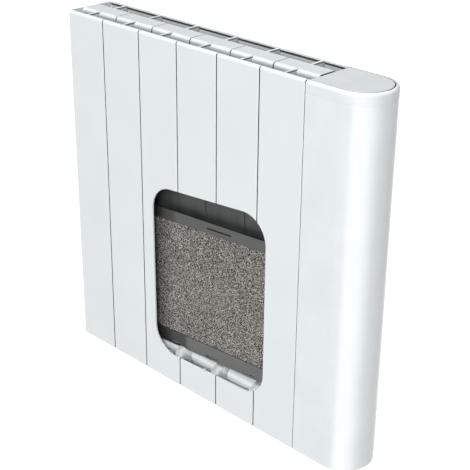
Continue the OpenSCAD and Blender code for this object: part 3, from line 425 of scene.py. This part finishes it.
zinc = metal("zinc_plated_steel", (0.62, 0.63, 0.65, 1.0), 900.0, (0.25, 1, 1), 0.32, 0.16, 0.00001)
for name in ["tie_rod_lower", "tie_rod_upper", "tie_rod_nuts", "lid_hinge_pin", "core_screws", "shell_screws",
             "board_screws"]:
    finish_node(name, zinc)

# ---------------------------------------------------------------------------------------------
# Stone slab: pressed refractory stone, grey-brown with dark and pale grains of under 1 mm.
# Its back is grooved for the heating rod, and its face is rough.

core_centre = (0.026, -0.1132)
core_slope = math.radians(4.0)
stone_size = (0.323, 0.202)
stone_front_y = -0.112 + 0.0141
stone_back_y = -0.112 + 0.0252
stone_cells = (200, 125)
pit_layers = [(0.0023, 3, 0.6), (0.0061, 4, 0.4)]
pit_depth, worn_depth, worn_reach = 0.0003, 0.0008, 0.0012
# A painted shadow on the stone's left part: its tone and the span over which it fades out.
stone_shadow_tone, stone_shadow_span = 0.58, (-0.058, -0.024)
rod_axis_y = -0.112 + 0.0217
rod_room = 0.0038
rod_straights = [(0.020, -0.100, 0.170), (0.060, -0.100, 0.170), (-0.020, -0.100, 0.120), (-0.060, -0.100, 0.120)]
rod_bends = [(-0.100, 0.0, 0.060, -1), (-0.100, 0.0, 0.020, -1), (0.120, -0.040, 0.020, 1)]


def value_noise(u, v, seed):
    """Smooth noise from 0 to 1: random numbers at whole places, blended by a smooth step of the remainders."""
    table = np.random.default_rng(seed).random((256, 256))
    iu, iv = np.floor(u).astype(int), np.floor(v).astype(int)
    fu, fv = u - iu, v - iv
    fu, fv = fu * fu * (3 - 2 * fu), fv * fv * (3 - 2 * fv)
    a, b = table[iu % 256, iv % 256], table[(iu + 1) % 256, iv % 256]
    c, d = table[iu % 256, (iv + 1) % 256], table[(iu + 1) % 256, (iv + 1) % 256]
    return (a * (1 - fu) + b * fu) * (1 - fv) + (c * (1 - fu) + d * fu) * fv


def groove_depth(u, v):
    """Depth of the back's groove: the rod's room is a round trough about the nearest line or half ring,
    open to the back, so it is as deep as the axis plus the circle's height over that distance."""
    away = np.full(u.shape, 1.0)
    for line_v, u0, u1 in rod_straights:
        past = np.maximum(np.maximum(u0 - u, u - u1), 0)
        away = np.minimum(away, np.hypot(v - line_v, past))
    for u0, v0, radius, side in rod_bends:
        inside = (u - u0) * side >= 0
        away = np.where(inside, np.minimum(away, np.abs(np.hypot(u - u0, v - v0) - radius)), away)
    round_part = np.sqrt(np.maximum(rod_room ** 2 - away ** 2, 0))
    return np.where(away < rod_room, (stone_back_y - rod_axis_y) + round_part, 0)


def stone_points():
    """Front and back of the slab as heights over one grid: the front is set back by pits and by worn edges,
    the back by the groove; both are then turned by the core's slope."""
    nu, nv = stone_cells
    u = np.linspace(-stone_size[0] / 2, stone_size[0] / 2, nu)[None, :].repeat(nv, 0)
    v = np.linspace(-stone_size[1] / 2, stone_size[1] / 2, nv)[:, None].repeat(nu, 1)
    rough = sum(value_noise(u / size + 90, v / size + 90, seed) * share for size, seed, share in pit_layers)
    pits = pit_depth * np.clip(rough * 1.6 - 0.5, 0, 1) ** 1.5
    edge = np.minimum(stone_size[0] / 2 - np.abs(u), stone_size[1] / 2 - np.abs(v))
    front = stone_front_y + pits + worn_depth * np.exp(-edge / worn_reach)
    back = stone_back_y - groove_depth(u, v)
    cos, sin = math.cos(core_slope), math.sin(core_slope)
    x, z = core_centre[0] + (u * cos - v * sin), core_centre[1] + (u * sin + v * cos)
    return np.concatenate([np.stack([x, front, z], -1).reshape(-1, 3), np.stack([x, back, z], -1).reshape(-1, 3)])


def stone_faces():
    """Front grid, back grid turned round, and the four sides between them."""
    nu, nv = stone_cells
    half = nu * nv
    rim = np.concatenate([np.arange(nu), np.arange(1, nv) * nu + nu - 1, (nv - 1) * nu + np.arange(nu - 2, -1, -1),
                          np.arange(nv - 2, 0, -1) * nu])
    after = np.roll(rim, -1)
    sides = np.stack([rim, rim + half, after + half, after], 1).tolist()
    return grid_faces(nv, nu) + grid_faces(nv, nu, half, flip=True) + sides


def stone_finish():
    """Grains as random cells: most are grey-brown, some nearly black, some pale, over a cloudy ground. A painted
    shadow darkens the stone towards its left end."""
    made, tree, shader = new_finish("refractory_stone", roughness=0.85, specular=0.25)
    place = put(tree, "ShaderNodeTexCoord").outputs["Object"]
    cells = put(tree, "ShaderNodeTexVoronoi", {"Vector": place, "Scale": 1250.0, "Randomness": 1.0})
    fine = put(tree, "ShaderNodeTexVoronoi", {"Vector": place, "Scale": 1700.0, "Randomness": 1.0})
    clouds = put(tree, "ShaderNodeTexNoise", {"Vector": place, "Scale": 60.0, "Detail": 4.0})
    lot = put(tree, "ShaderNodeSeparateColor", {"Color": cells.outputs["Color"]})
    small_lot = put(tree, "ShaderNodeSeparateColor", {"Color": fine.outputs["Color"]})
    grains = put(tree, "ShaderNodeValToRGB", {"Fac": lot.outputs["Red"]})
    ramp_of_grains = grains.color_ramp
    ramp_of_grains.interpolation = "LINEAR"
    stops = [(0.0, (0.006, 0.005, 0.004, 1)), (0.34, (0.015, 0.014, 0.012, 1)), (0.42, (0.088, 0.083, 0.073, 1)),
             (0.60, (0.185, 0.175, 0.156, 1)), (0.68, (0.545, 0.520, 0.472, 1)), (1.0, (0.800, 0.766, 0.700, 1))]
    ramp_of_grains.elements[0].position, ramp_of_grains.elements[0].color = stops[0]
    ramp_of_grains.elements[1].position, ramp_of_grains.elements[1].color = stops[-1]
    for position, colour in stops[1:-1]:
        ramp_of_grains.elements.new(position).color = colour
    speck = ramp(tree, small_lot.outputs["Green"], 0.0, 1.0, 0.02, 1.52)
    cloud = ramp(tree, clouds.outputs["Fac"], *drift_span, 0.92, 1.08)
    stone_shadow = ramp(tree, part_axes(tree)["X"], *stone_shadow_span, stone_shadow_tone, 1.0)
    tone = shaded(tree, grains.outputs["Color"], times(tree, speck, cloud, stone_shadow))
    tree.links.new(tone, shader.inputs["Base Color"])
    raise_surface(tree, shader, fine.outputs["Distance"], 0.00022)
    return made


stone_look = stone_finish()
stone = new_piece("stone_slab", stone_points(), stone_faces(), [stone_look], "radiator", crease=50)
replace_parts(stone, "stone_core")

# ---------------------------------------------------------------------------------------------
# Rails and back plate: galvanised sheet, dark grey, each rail with a painted shadow at its left end; the plate behind
# is painted near black as shade.
# The heating rod is a dull steel sheath.

# Each rail carries a painted shadow towards its left end.
finish_node("core_rail_upper", metal("upper_rail_sheet", (0.098, 0.101, 0.101, 1.0), 260.0, (0.3, 1, 1), 0.50, 0.30,
                                     0.00002, 0.7, shadow_at_left=(0.55, -0.026, -0.016)))
finish_node("core_rail_lower", metal("lower_rail_sheet", (0.126, 0.128, 0.127, 1.0), 260.0, (0.3, 1, 1), 0.50, 0.30,
                                     0.00002, 0.7, shadow_at_left=(0.40, -0.002, 0.007)))
# The back plate's near-black colour is painted shade in the cavity behind the window.
finish_node("core_back_plate", metal("painted_shade_back_sheet", (0.064, 0.067, 0.067, 1.0), 95.0, (1, 1, 0.04), 0.55,
                                     0.85, 0.00003, 0.3))
sheath_finish = metal("dull_steel_sheath", (0.35, 0.35, 0.36, 1.0), 700.0, (1, 1, 1), 0.45, 0.25, 0.00002)
finish_node("heating_rod", sheath_finish)

# ---------------------------------------------------------------------------------------------
# Housing: moulded plastic shell round the controls, smooth and satin white, screwed to the chassis
# plate beside the last element.


def build_moulded_grain():
    """Moulded plastic: a spark-eroded grain as small cells, and a faint drift of tone and gloss."""
    effect, given, result = new_effect("moulded_grain", [
        ("Colour", "NodeSocketColor", (0.8, 0.8, 0.8, 1.0)), ("Grain", "NodeSocketFloat", 1400.0),
        ("Gloss", "NodeSocketFloat", 0.4)],
        [("Colour", "NodeSocketColor"), ("Roughness", "NodeSocketFloat"), ("Height", "NodeSocketFloat")])
    place = put(effect, "ShaderNodeTexCoord").outputs["Object"]
    grain = put(effect, "ShaderNodeTexVoronoi", {"Vector": place, "Scale": given["Grain"]}, feature="SMOOTH_F1")
    drift = put(effect, "ShaderNodeTexNoise", {"Vector": place, "Scale": 22.0, "Detail": 3.0})
    shade = ramp(effect, drift.outputs["Fac"], *drift_span, 0.97, 1.02)
    gloss = calc(effect, "MULTIPLY_ADD", drift.outputs["Fac"], 0.12, given["Gloss"])
    for name, value in (("Colour", shaded(effect, given["Colour"], shade)), ("Roughness", gloss),
                        ("Height", grain.outputs["Distance"])):
        effect.links.new(value, result.inputs[name])
    return effect


moulded_grain = build_moulded_grain()


def moulding(name, colour, grain, gloss, depth):
    """A moulded plastic or rubber finish of one colour."""
    made, tree, shader = new_finish(name)
    plastic = use_effect(tree, moulded_grain, {"Colour": colour, "Grain": grain, "Gloss": gloss})
    tree.links.new(plastic["Colour"], shader.inputs["Base Color"])
    tree.links.new(plastic["Roughness"], shader.inputs["Roughness"])
    raise_surface(tree, shader, plastic["Height"], depth)
    return made


shell_white = (0.785, 0.835, 0.838, 1.0)
finish_node("housing_shell", moulding("satin_white_shell", shell_white, 1300.0, 0.14, 0.00001))

# ---------------------------------------------------------------------------------------------
# Top frame: the same white moulding, a little duller, and the plain parts of the chassis, deck and
# bottom cap.

finish_node("top_frame", moulding("satin_white_frame", shell_white, 1300.0, 0.28, 0.00001))
finish_node("chassis_plate", metal("galvanised_chassis", (0.50, 0.51, 0.52, 1.0), 240.0, (1, 0.4, 1), 0.42, 0.25,
                                   0.00002))
finish_node("control_deck", moulding("grained_dark_deck", (0.06, 0.065, 0.07, 1.0), 1100.0, 0.50, 0.00004))
black_moulding = moulding("grained_black_moulding", (0.035, 0.036, 0.04, 1.0), 1100.0, 0.48, 0.00004)
for name in ["bottom_cap", "switch_body", "cable_gland", "gland_nut"]:
    finish_node(name, black_moulding)

# ---------------------------------------------------------------------------------------------
# Lid: a pale moulded plate with a round end and a softly rounded upper edge, thinner in its middle
# below, with a hinge barrel along its straight edge for a steel pin.

round_x, round_y = 538.0, 45.0
hinge_x, hinge_z = 484.0, 557.0
lid_reach = 39.1
lid_top, lid_foot = 560.0, 557.0
lid_round, lid_chamfer, lid_recess, hinge_gap = 1.7, 0.3, 0.6, 0.2
lid_under_reach, lid_over_reach = [0.6, 20, 33.5, 34.5], [lid_reach - 4, 20, 0.6]
barrel_radius, barrel_bore = 2.95, 1.32
# Painted shade in the lid's joint: the levels below which it falls, and the tone it leaves.
lid_shade_levels = (0.00030, 0.00016)
lid_rim = (1.5, 1.1)
lid_shade_tone = 0.10


def lid_skin():
    """A profile of reach and height, carried round the lid's outline: out of the centre line square to it
    along both straight sides, and out of its end round the half circle."""
    turn = np.linspace(0, math.pi / 2, 9)
    reach = np.concatenate([lid_under_reach, [lid_reach - lid_chamfer, lid_reach],
                            lid_reach - lid_round * (1 - np.cos(turn)), lid_over_reach])
    level = np.concatenate([[lid_foot + lid_recess] * 3, [lid_foot], [lid_foot, lid_foot + lid_chamfer],
                            lid_top - lid_round * (1 - np.sin(turn)), [lid_top] * len(lid_over_reach)])
    straight = np.linspace(hinge_x + hinge_gap, round_x, 12)[:-1]
    angle = np.linspace(-math.pi / 2, math.pi / 2, 61)
    x0 = np.concatenate([straight, np.full(61, round_x), straight[::-1]])
    way = np.concatenate([np.tile([[0.0, -1.0]], (11, 1)), np.stack([np.cos(angle), np.sin(angle)], -1),
                          np.tile([[0.0, 1.0]], (11, 1))])
    outline = [from_corner(x0 + way[:, 0] * r, round_y + way[:, 1] * r, z) for r, z in zip(reach, level)]
    return skin(np.stack(outline))


def ring_bar(radius, bore, start, end, place, axes, edge=0.3, steps=48):
    """A tube about a place, along the third of three axes: four circles, outside and in the bore, whose ends
    are drawn in by a small edge, joined into a closed ring."""
    t = np.linspace(0, 2 * math.pi, steps, endpoint=False)
    loop = [(radius - edge, start), (radius, start + edge), (radius, end - edge), (radius - edge, end),
            (bore, end), (bore, start)]
    u, v, w = (np.asarray(axis, float) for axis in axes)
    points = np.concatenate([place + (np.cos(t)[:, None] * u + np.sin(t)[:, None] * v) * r + w * h for r, h in loop])
    inward = np.dot(np.cross(u, v), w) < 0
    return points, grid_faces(len(loop), steps, wrap_rows=True, wrap_columns=True, flip=not inward)


def barrel_skin():
    """The hinge barrel, a tube along Y with a bore."""
    place = from_corner(hinge_x, round_y, hinge_z)
    mm = 0.001
    return ring_bar(barrel_radius * mm, barrel_bore * mm, -lid_reach * mm, lid_reach * mm, place,
                    ((1, 0, 0), (0, 0, 1), (0, 1, 0)), edge=0.3 * mm)


def lid_finish():
    """The pale moulding, with painted shade in its joint: below a level, and near the straight edge or near the
    outline, whose distance from the centre line is the root of the squares of how far X is past the round end's
    centre and how far Y is from the middle."""
    made, tree, shader = new_finish("pale_lid")
    plastic = use_effect(tree, moulded_grain, {"Colour": (0.645, 0.690, 0.685, 1.0), "Grain": 1300.0, "Gloss": 0.35})
    spot = part_axes(tree)
    past_end = calc(tree, "MAXIMUM", calc(tree, "SUBTRACT", spot["X"], round_x / 1000 + corner[0]), 0.0)
    aside = calc(tree, "SUBTRACT", spot["Y"], round_y / 1000 + corner[1])
    away = calc(tree, "SQRT", calc(tree, "ADD", calc(tree, "MULTIPLY", past_end, past_end),
                                   calc(tree, "MULTIPLY", aside, aside)))
    inner, outer = lid_rim
    rim = calc(tree, "MAXIMUM", ramp(tree, away, (lid_reach - inner) / 1000, (lid_reach - outer) / 1000),
               ramp(tree, spot["X"], (hinge_x + inner) / 1000 + corner[0], (hinge_x + outer) / 1000 + corner[0]))
    low = ramp(tree, spot["Z"], height + corner[2] - lid_shade_levels[1], height + corner[2] - lid_shade_levels[0])
    lid_joint_shade = ramp(tree, times(tree, rim, low), 0.0, 1.0, 1.0, lid_shade_tone)
    tree.links.new(shaded(tree, plastic["Colour"], lid_joint_shade), shader.inputs["Base Color"])
    tree.links.new(plastic["Roughness"], shader.inputs["Roughness"])
    raise_surface(tree, shader, plastic["Height"], 0.00001)
    return made


points, faces, _ = together([lid_skin(), barrel_skin()])
lid_piece = new_piece("moulded_lid", points, faces, [lid_finish()], "lid", crease=35)
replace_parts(lid_piece, "lid")

# ---------------------------------------------------------------------------------------------
# Cross-headed screws that can be seen: countersunk ones in the end cover, flat ones in the deck and
# pan-headed ones in the bottom cap, turned and pressed from steel and plated with zinc.

cross_width, cross_length, cross_depth = 0.75, 2.1, 0.7
cross_side_slope, cross_end_slope = 0.18, 0.25
crown_middle, crown_rise = 0.12, 0.10
deck_top = 548.0


def screw_skin(head, shank, place, axes):
    """Rings about the screw's axis, from the crown of its head outwards and down the shank. The head's rings
    are sunk where the smaller of the two distances from the cross's arms is under half their width."""
    t = np.linspace(0, 2 * math.pi, 64, endpoint=False)
    rim, top = head[0]
    crown = [(r, top - crown_rise * (r / rim) ** 2) for r in np.linspace(crown_middle, rim, 15)]
    rings = []
    for r, h in crown + head[1:] + shank:
        u, v = np.abs(r * np.cos(t)), np.abs(r * np.sin(t))
        arm = np.clip((cross_width / 2 - np.minimum(u, v)) / cross_side_slope + 0.5, 0, 1)
        sunk = arm * np.clip((cross_length - np.maximum(u, v)) / cross_end_slope, 0, 1) * cross_depth
        rings.append(np.stack([r * np.cos(t), r * np.sin(t), h - (sunk if (r, h) in crown else 0) + 0 * t], -1))
    turned = np.stack(rings) * 0.001
    return skin(place + turned @ np.asarray(axes, float))


flat_head = [(3.25, 0.0), (3.4, -0.15), (3.4, -0.75), (3.2, -0.85)]
pan_head = [(2.3, 0.0), (2.9, -0.25), (3.3, -0.75), (3.4, -1.3), (3.4, -1.9)]
sunk_head = [(3.3, 0.0), (3.4, -0.1), (1.8, -1.2)]
up = ((1, 0, 0), (0, 1, 0), (0, 0, 1))
down = ((1, 0, 0), (0, 1, 0), (0, 0, -1))
left = ((0, 1, 0), (0, 0, 1), (-1, 0, 0))
deck_places = [(562.18, 20.82), (562.18, 69.18), (494.0, 10.8), (494.0, 79.2)]
screw_groups = {
    "deck_screws": (up, flat_head, [(1.75, -0.9), (1.75, -7.4), (0.9, -8.0)],
                    [(x, y, deck_top) for x, y in deck_places]),
    "bottom_cap_screws": (down, pan_head, [(1.75, -2.0), (1.75, -13.8), (0.9, -14.6)],
                          [(526.0, y, 3.9) for y in (6.0, 84.0)]),
    "end_cover_screws": (left, sunk_head, [(1.75, -1.3), (1.75, -3.3), (0.9, -3.9)],
                         [(0.7, 41.8, z) for z in (100.8, 280.0, 459.2)]),
}
for group, (axes, head, shank, places) in screw_groups.items():
    points, faces, _ = together([screw_skin(head, shank, from_corner(*place), axes) for place in places])
    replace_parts(new_piece("cross_" + group, points, faces, [zinc], "radiator", crease=35), group)

# ---------------------------------------------------------------------------------------------
# Push buttons: dished moulded caps with a retaining flange and a stem, and a raised sign on each, which
# is a plain bar, a cross, a dot in a ring, or a ring open at the top with a bar in it.

button_places = {"power": (558.0, 45.0), "minus": (504.0, 27.0), "mode": (524.0, 27.0), "plus": (544.0, 27.0)}
button_profile = [(0.4, 549.12), (2.0, 549.16), (3.6, 549.30), (4.5, 549.47), (4.8, 549.5), (5.15, 549.44),
                  (5.4, 549.25), (5.5, 548.95), (5.5, 545.9), (6.7, 545.9), (6.8, 545.8), (6.8, 545.0),
                  (6.7, 544.9), (1.5, 544.9), (1.5, 541.4), (1.4, 541.3)]
sign_width, sign_foot, sign_top = 0.75, 549.0, 549.46
bar_half = 2.0
full_turn = (0, 359)


def turned_skin(profile, x, y):
    """A profile of radius and height turned about an upright axis."""
    t = np.linspace(0, 2 * math.pi, 64, endpoint=False)
    return skin(np.stack([from_corner(x + r * np.cos(t), y + r * np.sin(t), z) for r, z in profile]))


def stroke_skin(path, width, low, high):
    """A flat stroke along a path in X and Y: at each point half the width goes to either side, square to the
    path, at the lower and the upper level."""
    path = np.asarray(path, float)
    way = np.gradient(path, axis=0)
    side = np.stack([-way[:, 1], way[:, 0]], -1) / np.hypot(way[:, 0], way[:, 1])[:, None] * width / 2
    loop = [(1, low), (1, high), (-1, high), (-1, low)]
    return skin(np.stack([from_corner(*(path + k * side).T, z) for k, z in loop], 1))


def arc(x, y, radius, start, end):
    """Points of an arc, between two angles in degrees."""
    t = np.radians(np.linspace(start, end, 40))
    return np.stack([x + radius * np.cos(t), y + radius * np.sin(t)], -1)


def sign_paths(kind, x, y):
    """Centre lines of a button's sign."""
    bar = [(x - bar_half, y), (x + bar_half, y)]
    if kind == "minus":
        return [bar]
    if kind == "plus":
        return [bar, [(x, y - bar_half), (x, y + bar_half)]]
    if kind == "mode":
        return [arc(x, y, 2.2, *full_turn), arc(x, y, 0.45, *full_turn)]
    return [arc(x, y, 2.0, 130, 410), [(x, y + 0.6), (x, y + 2.7)]]


sign_dark = moulding("dark_sign", (0.07, 0.075, 0.08, 1.0), 1600.0, 0.45, 0.00001)
sign_pale = moulding("pale_sign", (0.80, 0.80, 0.78, 1.0), 1600.0, 0.45, 0.00001)
pale_button = moulding("pale_button", (0.72, 0.73, 0.73, 1.0), 1600.0, 0.42, 0.00002)
red_button = moulding("red_button", (0.50, 0.06, 0.04, 1.0), 1600.0, 0.42, 0.00002)
for kind, (x, y) in button_places.items():
    parts = [turned_skin(button_profile, x, y)]
    parts += [stroke_skin(path, sign_width, sign_foot, sign_top) for path in sign_paths(kind, x, y)]
    points, faces, owner = together(parts)
    look = [red_button, sign_pale] if kind == "power" else [pale_button, sign_dark]
    cap = new_piece("cap_" + kind, points, faces, look, kind + "_button",
                    faces_finish=np.minimum(owner, 1), crease=35)
    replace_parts(cap, "button_" + kind)

# ---------------------------------------------------------------------------------------------
# Display: a dark liquid crystal with two figures and a degree ring, under a clear acrylic lens that
# is let into the deck.

digit_strokes = {"2": "abged", "1": "bc"}
segment_ends = {"a": ((0, 2), (1, 2)), "b": ((1, 2), (1, 1)), "c": ((1, 1), (1, 0)), "d": ((0, 0), (1, 0)),
                "e": ((0, 1), (0, 0)), "g": ((0, 1), (1, 1))}
figure_width, figure_half, figure_low, figure_gap = 5.2, 5.2, 50.8, 0.09
figure_foot, figure_top = 545.94, 546.05
figure_places = (("2", 511.0), ("1", 519.0))
degree_ring = (529.0, 60.4, 1.1)


def digit_paths(figure, x):
    """The strokes of one figure, shortened a little at both ends so that they stand apart."""
    for letter in digit_strokes[figure]:
        start, end = np.array(segment_ends[letter], float) * (figure_width, figure_half) + (x, figure_low)
        yield start + (end - start) * figure_gap, end - (end - start) * figure_gap


finish_node("display", moulding("dark_liquid_crystal", (0.04, 0.05, 0.05, 1.0), 2200.0, 0.12, 0.000002))
strokes = [stroke_skin(path, 1.0, figure_foot, figure_top)
           for figure, x in figure_places for path in digit_paths(figure, x)]
strokes.append(stroke_skin(arc(*degree_ring, *full_turn), 0.6, figure_foot, figure_top))
points, faces, _ = together(strokes)
new_piece("display_figures", points, faces, [moulding("lit_figures", (0.62, 0.74, 0.70, 1.0), 2200.0, 0.4, 0.000002)],
          "radiator", smooth=False)


def lens_finish():
    """Clear acrylic: light passes through it, and its surface is faintly uneven."""
    made, tree, shader = new_finish("clear_lens", roughness=0.04)
    shader.inputs["Transmission Weight"].default_value = 1.0
    shader.inputs["IOR"].default_value = 1.49
    place = put(tree, "ShaderNodeTexCoord").outputs["Object"]
    tint = put(tree, "ShaderNodeTexNoise", {"Vector": place, "Scale": 40.0, "Detail": 2.0})
    tone = put(tree, "ShaderNodeMix", {"Factor": tint.outputs["Fac"]}, data_type="RGBA")
    tone.inputs[6].default_value, tone.inputs[7].default_value = (0.93, 0.96, 0.96, 1.0), (0.97, 0.99, 0.99, 1.0)
    tree.links.new(tone.outputs[2], shader.inputs["Base Color"])
    raise_surface(tree, shader, tint.outputs["Fac"], 0.000005)
    return made


finish_node("display_lens", lens_finish())

# ---------------------------------------------------------------------------------------------
# Mains rocker in the bottom cap: a black moulding with a hollow face, marked with a bar for on and a
# ring for off, which tips about two short pins.

rocker_at = (508.0, 45.0, 8.0)
rocker_radius, rocker_face_half = 8.3, 7.1
rocker_face, rocker_back, rocker_hollow = -4.2, 2.5, 0.7
rocker_tip = math.radians(9.0)
rocker_sections = [(-4.5, 0.94), (-4.4, 0.975), (-4.1, 1.0), (4.1, 1.0), (4.4, 0.975), (4.5, 0.94)]
pin_sections = [(-6, 1.0), (-5.8, 1.2), (5.8, 1.2), (6, 1.0)]
mark_width, mark_proud, mark_sunk = 0.7, -0.1, 0.2


def tipped(x, y, z):
    """A place on the rocker, about its axis, turned to its rest position."""
    return from_corner(rocker_at[0] + x, rocker_at[1] + y * math.cos(rocker_tip) - z * math.sin(rocker_tip),
                       rocker_at[2] + y * math.sin(rocker_tip) + z * math.cos(rocker_tip))


def face_level(y):
    """Height of the hollow face: a shallow arc between its two long ends."""
    return rocker_face + rocker_hollow * (1 - (np.asarray(y) / rocker_face_half) ** 2)


def rocker_skin():
    """Outline in Y and Z, a hollow face between two arcs of one circle and a flat back, carried along X and
    drawn in at both ends."""
    y = np.linspace(-rocker_face_half, rocker_face_half, 31)
    t = np.linspace(math.asin(rocker_face / rocker_radius), math.asin(rocker_back / rocker_radius), 12)
    flank = rocker_radius * np.stack([np.cos(t), np.sin(t)], -1)
    outline = np.concatenate([np.stack([y, face_level(y)], -1), flank, flank[::-1] * (-1, 1)])
    return skin(np.stack([tipped(x, *(outline * share).T) for x, share in rocker_sections]))


def pin_skin():
    """The rocker's pin, along X."""
    t = np.linspace(0, 2 * math.pi, 32, endpoint=False)
    return skin(np.stack([tipped(x, r * np.cos(t), r * np.sin(t)) for x, r in pin_sections]))


def mark_skin(path, width):
    """A mark on the rocker's face: a stroke that follows the hollow and stands a little proud of it."""
    path = np.asarray(path, float)
    way = np.gradient(path, axis=0)
    side = np.stack([-way[:, 1], way[:, 0]], -1) / np.hypot(way[:, 0], way[:, 1])[:, None] * width / 2
    rows = []
    for k, lift in ((1, mark_sunk), (1, mark_proud), (-1, mark_proud), (-1, mark_sunk)):
        x, y = (path + k * side).T
        rows.append(tipped(x, y, face_level(y) + lift))
    return skin(np.stack(rows, 1))


parts = [rocker_skin(), pin_skin(), mark_skin([(-1.6, -4.6), (1.6, -4.6)], mark_width),
         mark_skin(arc(0.0, 4.6, 1.5, *full_turn), mark_width)]
points, faces, owner = together(parts)
rocker = new_piece("marked_rocker", points, faces, [black_moulding, sign_pale], "mains_rocker",
                   faces_finish=(np.array(owner) > 1).astype(int), crease=35)
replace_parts(rocker, "switch_rocker")

# ---------------------------------------------------------------------------------------------
# Electrical parts inside: cream moulded blocks, rubber grommets and pads, silicone leads, two green
# boards with a relay and a capacitor, and the flat cable between them.

cream = moulding("cream_moulding", (0.72, 0.68, 0.55, 1.0), 900.0, 0.5, 0.00003)
for name in ["thermal_cutout", "terminal_block", "room_sensor"]:
    finish_node(name, cream)
rubber = moulding("black_rubber", (0.03, 0.03, 0.03, 1.0), 800.0, 0.72, 0.00005)
for name in ["lead_grommets", "bracket_pads"]:
    finish_node(name, rubber)
finish_node("core_leads", moulding("silicone_sleeve", (0.55, 0.06, 0.04, 1.0), 900.0, 0.55, 0.00003))
board = moulding("solder_mask", (0.03, 0.16, 0.07, 1.0), 700.0, 0.3, 0.00002)
for name in ["control_board", "power_board"]:
    finish_node(name, board)
finish_node("relay", moulding("relay_case", (0.04, 0.12, 0.38, 1.0), 1500.0, 0.4, 0.00002))
finish_node("capacitor", moulding("capacitor_sleeve", (0.05, 0.06, 0.09, 1.0), 1500.0, 0.28, 0.00001))
finish_node("ribbon_cable", moulding("ribbon_jacket", (0.45, 0.46, 0.48, 1.0), 1200.0, 0.5, 0.00002))

# ---------------------------------------------------------------------------------------------
# Room: a plain pale floor under the hung radiator, soft studio light and the camera, which stands to
# the front right and looks down a little.

floor_z, floor_reach = cad_box[0][2] - 0.12, 6.0
floor_tones, floor_lift, sky_light = (0.62, 0.66), 0.80, 0.17
lamp_target = (0.05, -0.07, -0.02)
# The floor's painted reflection: the wedge's corner, its two bounding directions in degrees, and its strength.
card_corner = (0.298, -0.112)
card_left = (-4.0, 20.0)
card_right = (104.0, 62.0)
painted_reflection_strength = 4.2


def floor_finish():
    """Pale floor: it is lit as any floor is, and what the camera sees is lifted to white. A wedge of it glows for
    glossy rays only, a painted reflection seen in shiny surfaces as a brighter card, spread between two directions
    from the foot of the round corner."""
    made, tree, shader = new_finish("pale_floor", roughness=0.9, specular=0.1)
    place = put(tree, "ShaderNodeTexCoord").outputs["Object"]
    drift = put(tree, "ShaderNodeTexNoise", {"Vector": place, "Scale": 3.0, "Detail": 3.0})
    tree.links.new(ramp(tree, drift.outputs["Fac"], 0.0, 1.0, *floor_tones), shader.inputs["Base Color"])
    seen = put(tree, "ShaderNodeLightPath").outputs
    shown = calc(tree, "MAXIMUM", seen["Is Camera Ray"], seen["Is Glossy Ray"])
    shown = calc(tree, "MAXIMUM", shown, seen["Is Transmission Ray"])
    spot = part_axes(tree)
    azimuth = calc(tree, "ARCTAN2", calc(tree, "SUBTRACT", spot["X"], card_corner[0]),
                   calc(tree, "SUBTRACT", card_corner[1], spot["Y"]))
    sides = [ramp(tree, azimuth, *np.radians(side)) for side in (card_left, card_right)]
    painted_reflection = times(tree, *sides, seen["Is Glossy Ray"], painted_reflection_strength)
    lift = calc(tree, "MULTIPLY_ADD", shown, floor_lift, painted_reflection)
    shader.inputs["Emission Color"].default_value = (1, 1, 1, 1)
    tree.links.new(lift, shader.inputs["Emission Strength"])
    return made


floor_corners = [(x * floor_reach, y * floor_reach, floor_z) for x, y in ((-1, -1), (1, -1), (1, 1), (-1, 1))]
floor = new_piece("floor", floor_corners, [(0, 1, 2, 3)], [floor_finish()], "radiator",
                  smooth=False)

world = bpy.data.worlds.new("studio")
bpy.context.scene.world = world
world.use_nodes = True
sky = world.node_tree
sky.nodes.clear()
seen = put(sky, "ShaderNodeLightPath").outputs
shown = calc(sky, "MAXIMUM", seen["Is Camera Ray"], seen["Is Transmission Ray"])
backdrop = put(sky, "ShaderNodeBackground", {"Color": (1, 1, 1, 1),
                                             "Strength": ramp(sky, shown, 0.0, 1.0, sky_light, 1.0)})
put(sky, "ShaderNodeOutputWorld", {"Surface": backdrop.outputs["Background"]})


def softbox(name, azimuth, elevation, distance, size, watts):
    """A square lamp seen from the object at an azimuth right of its front and an elevation, turned to it."""
    lamp = bpy.data.lights.new(name, "AREA")
    lamp.shape, lamp.size, lamp.energy = "SQUARE", size, watts
    made = bpy.data.objects.new(name, lamp)
    bpy.context.scene.collection.objects.link(made)
    a, e = math.radians(azimuth), math.radians(elevation)
    towards = np.array([math.sin(a) * math.cos(e), -math.cos(a) * math.cos(e), math.sin(e)])
    side = np.cross([0, 0, 1], towards)
    side = side / np.linalg.norm(side)
    turned = np.stack([side, np.cross(towards, side), towards], 1)
    made.matrix_world = Matrix.Translation(lamp_target + towards * distance) @ Matrix(turned.tolist()).to_4x4()
    return made


softbox("key_softbox", azimuth=29, elevation=28, distance=6.0, size=2.3, watts=192)
softbox("top_softbox", azimuth=10, elevation=80, distance=5.2, size=3.0, watts=212)

camera_place = (1.1595, -1.1750, 0.7103)
camera_right = (0.7115, 0.7026, 0.0093)
camera_up = (-0.3057, 0.2976, 0.9044)
camera_back = (0.6327, -0.6464, 0.4265)
lens = bpy.data.cameras.new("camera")
lens.lens, lens.sensor_width = 88.97, 36.0
camera = bpy.data.objects.new("camera", lens)
bpy.context.scene.collection.objects.link(camera)
turned = Matrix(np.stack([camera_right, camera_up, camera_back], 1).tolist()).to_4x4()
camera.matrix_world = Matrix.Translation(camera_place) @ turned
bpy.context.scene.camera = camera
bpy.context.scene.view_settings.view_transform = "Standard"
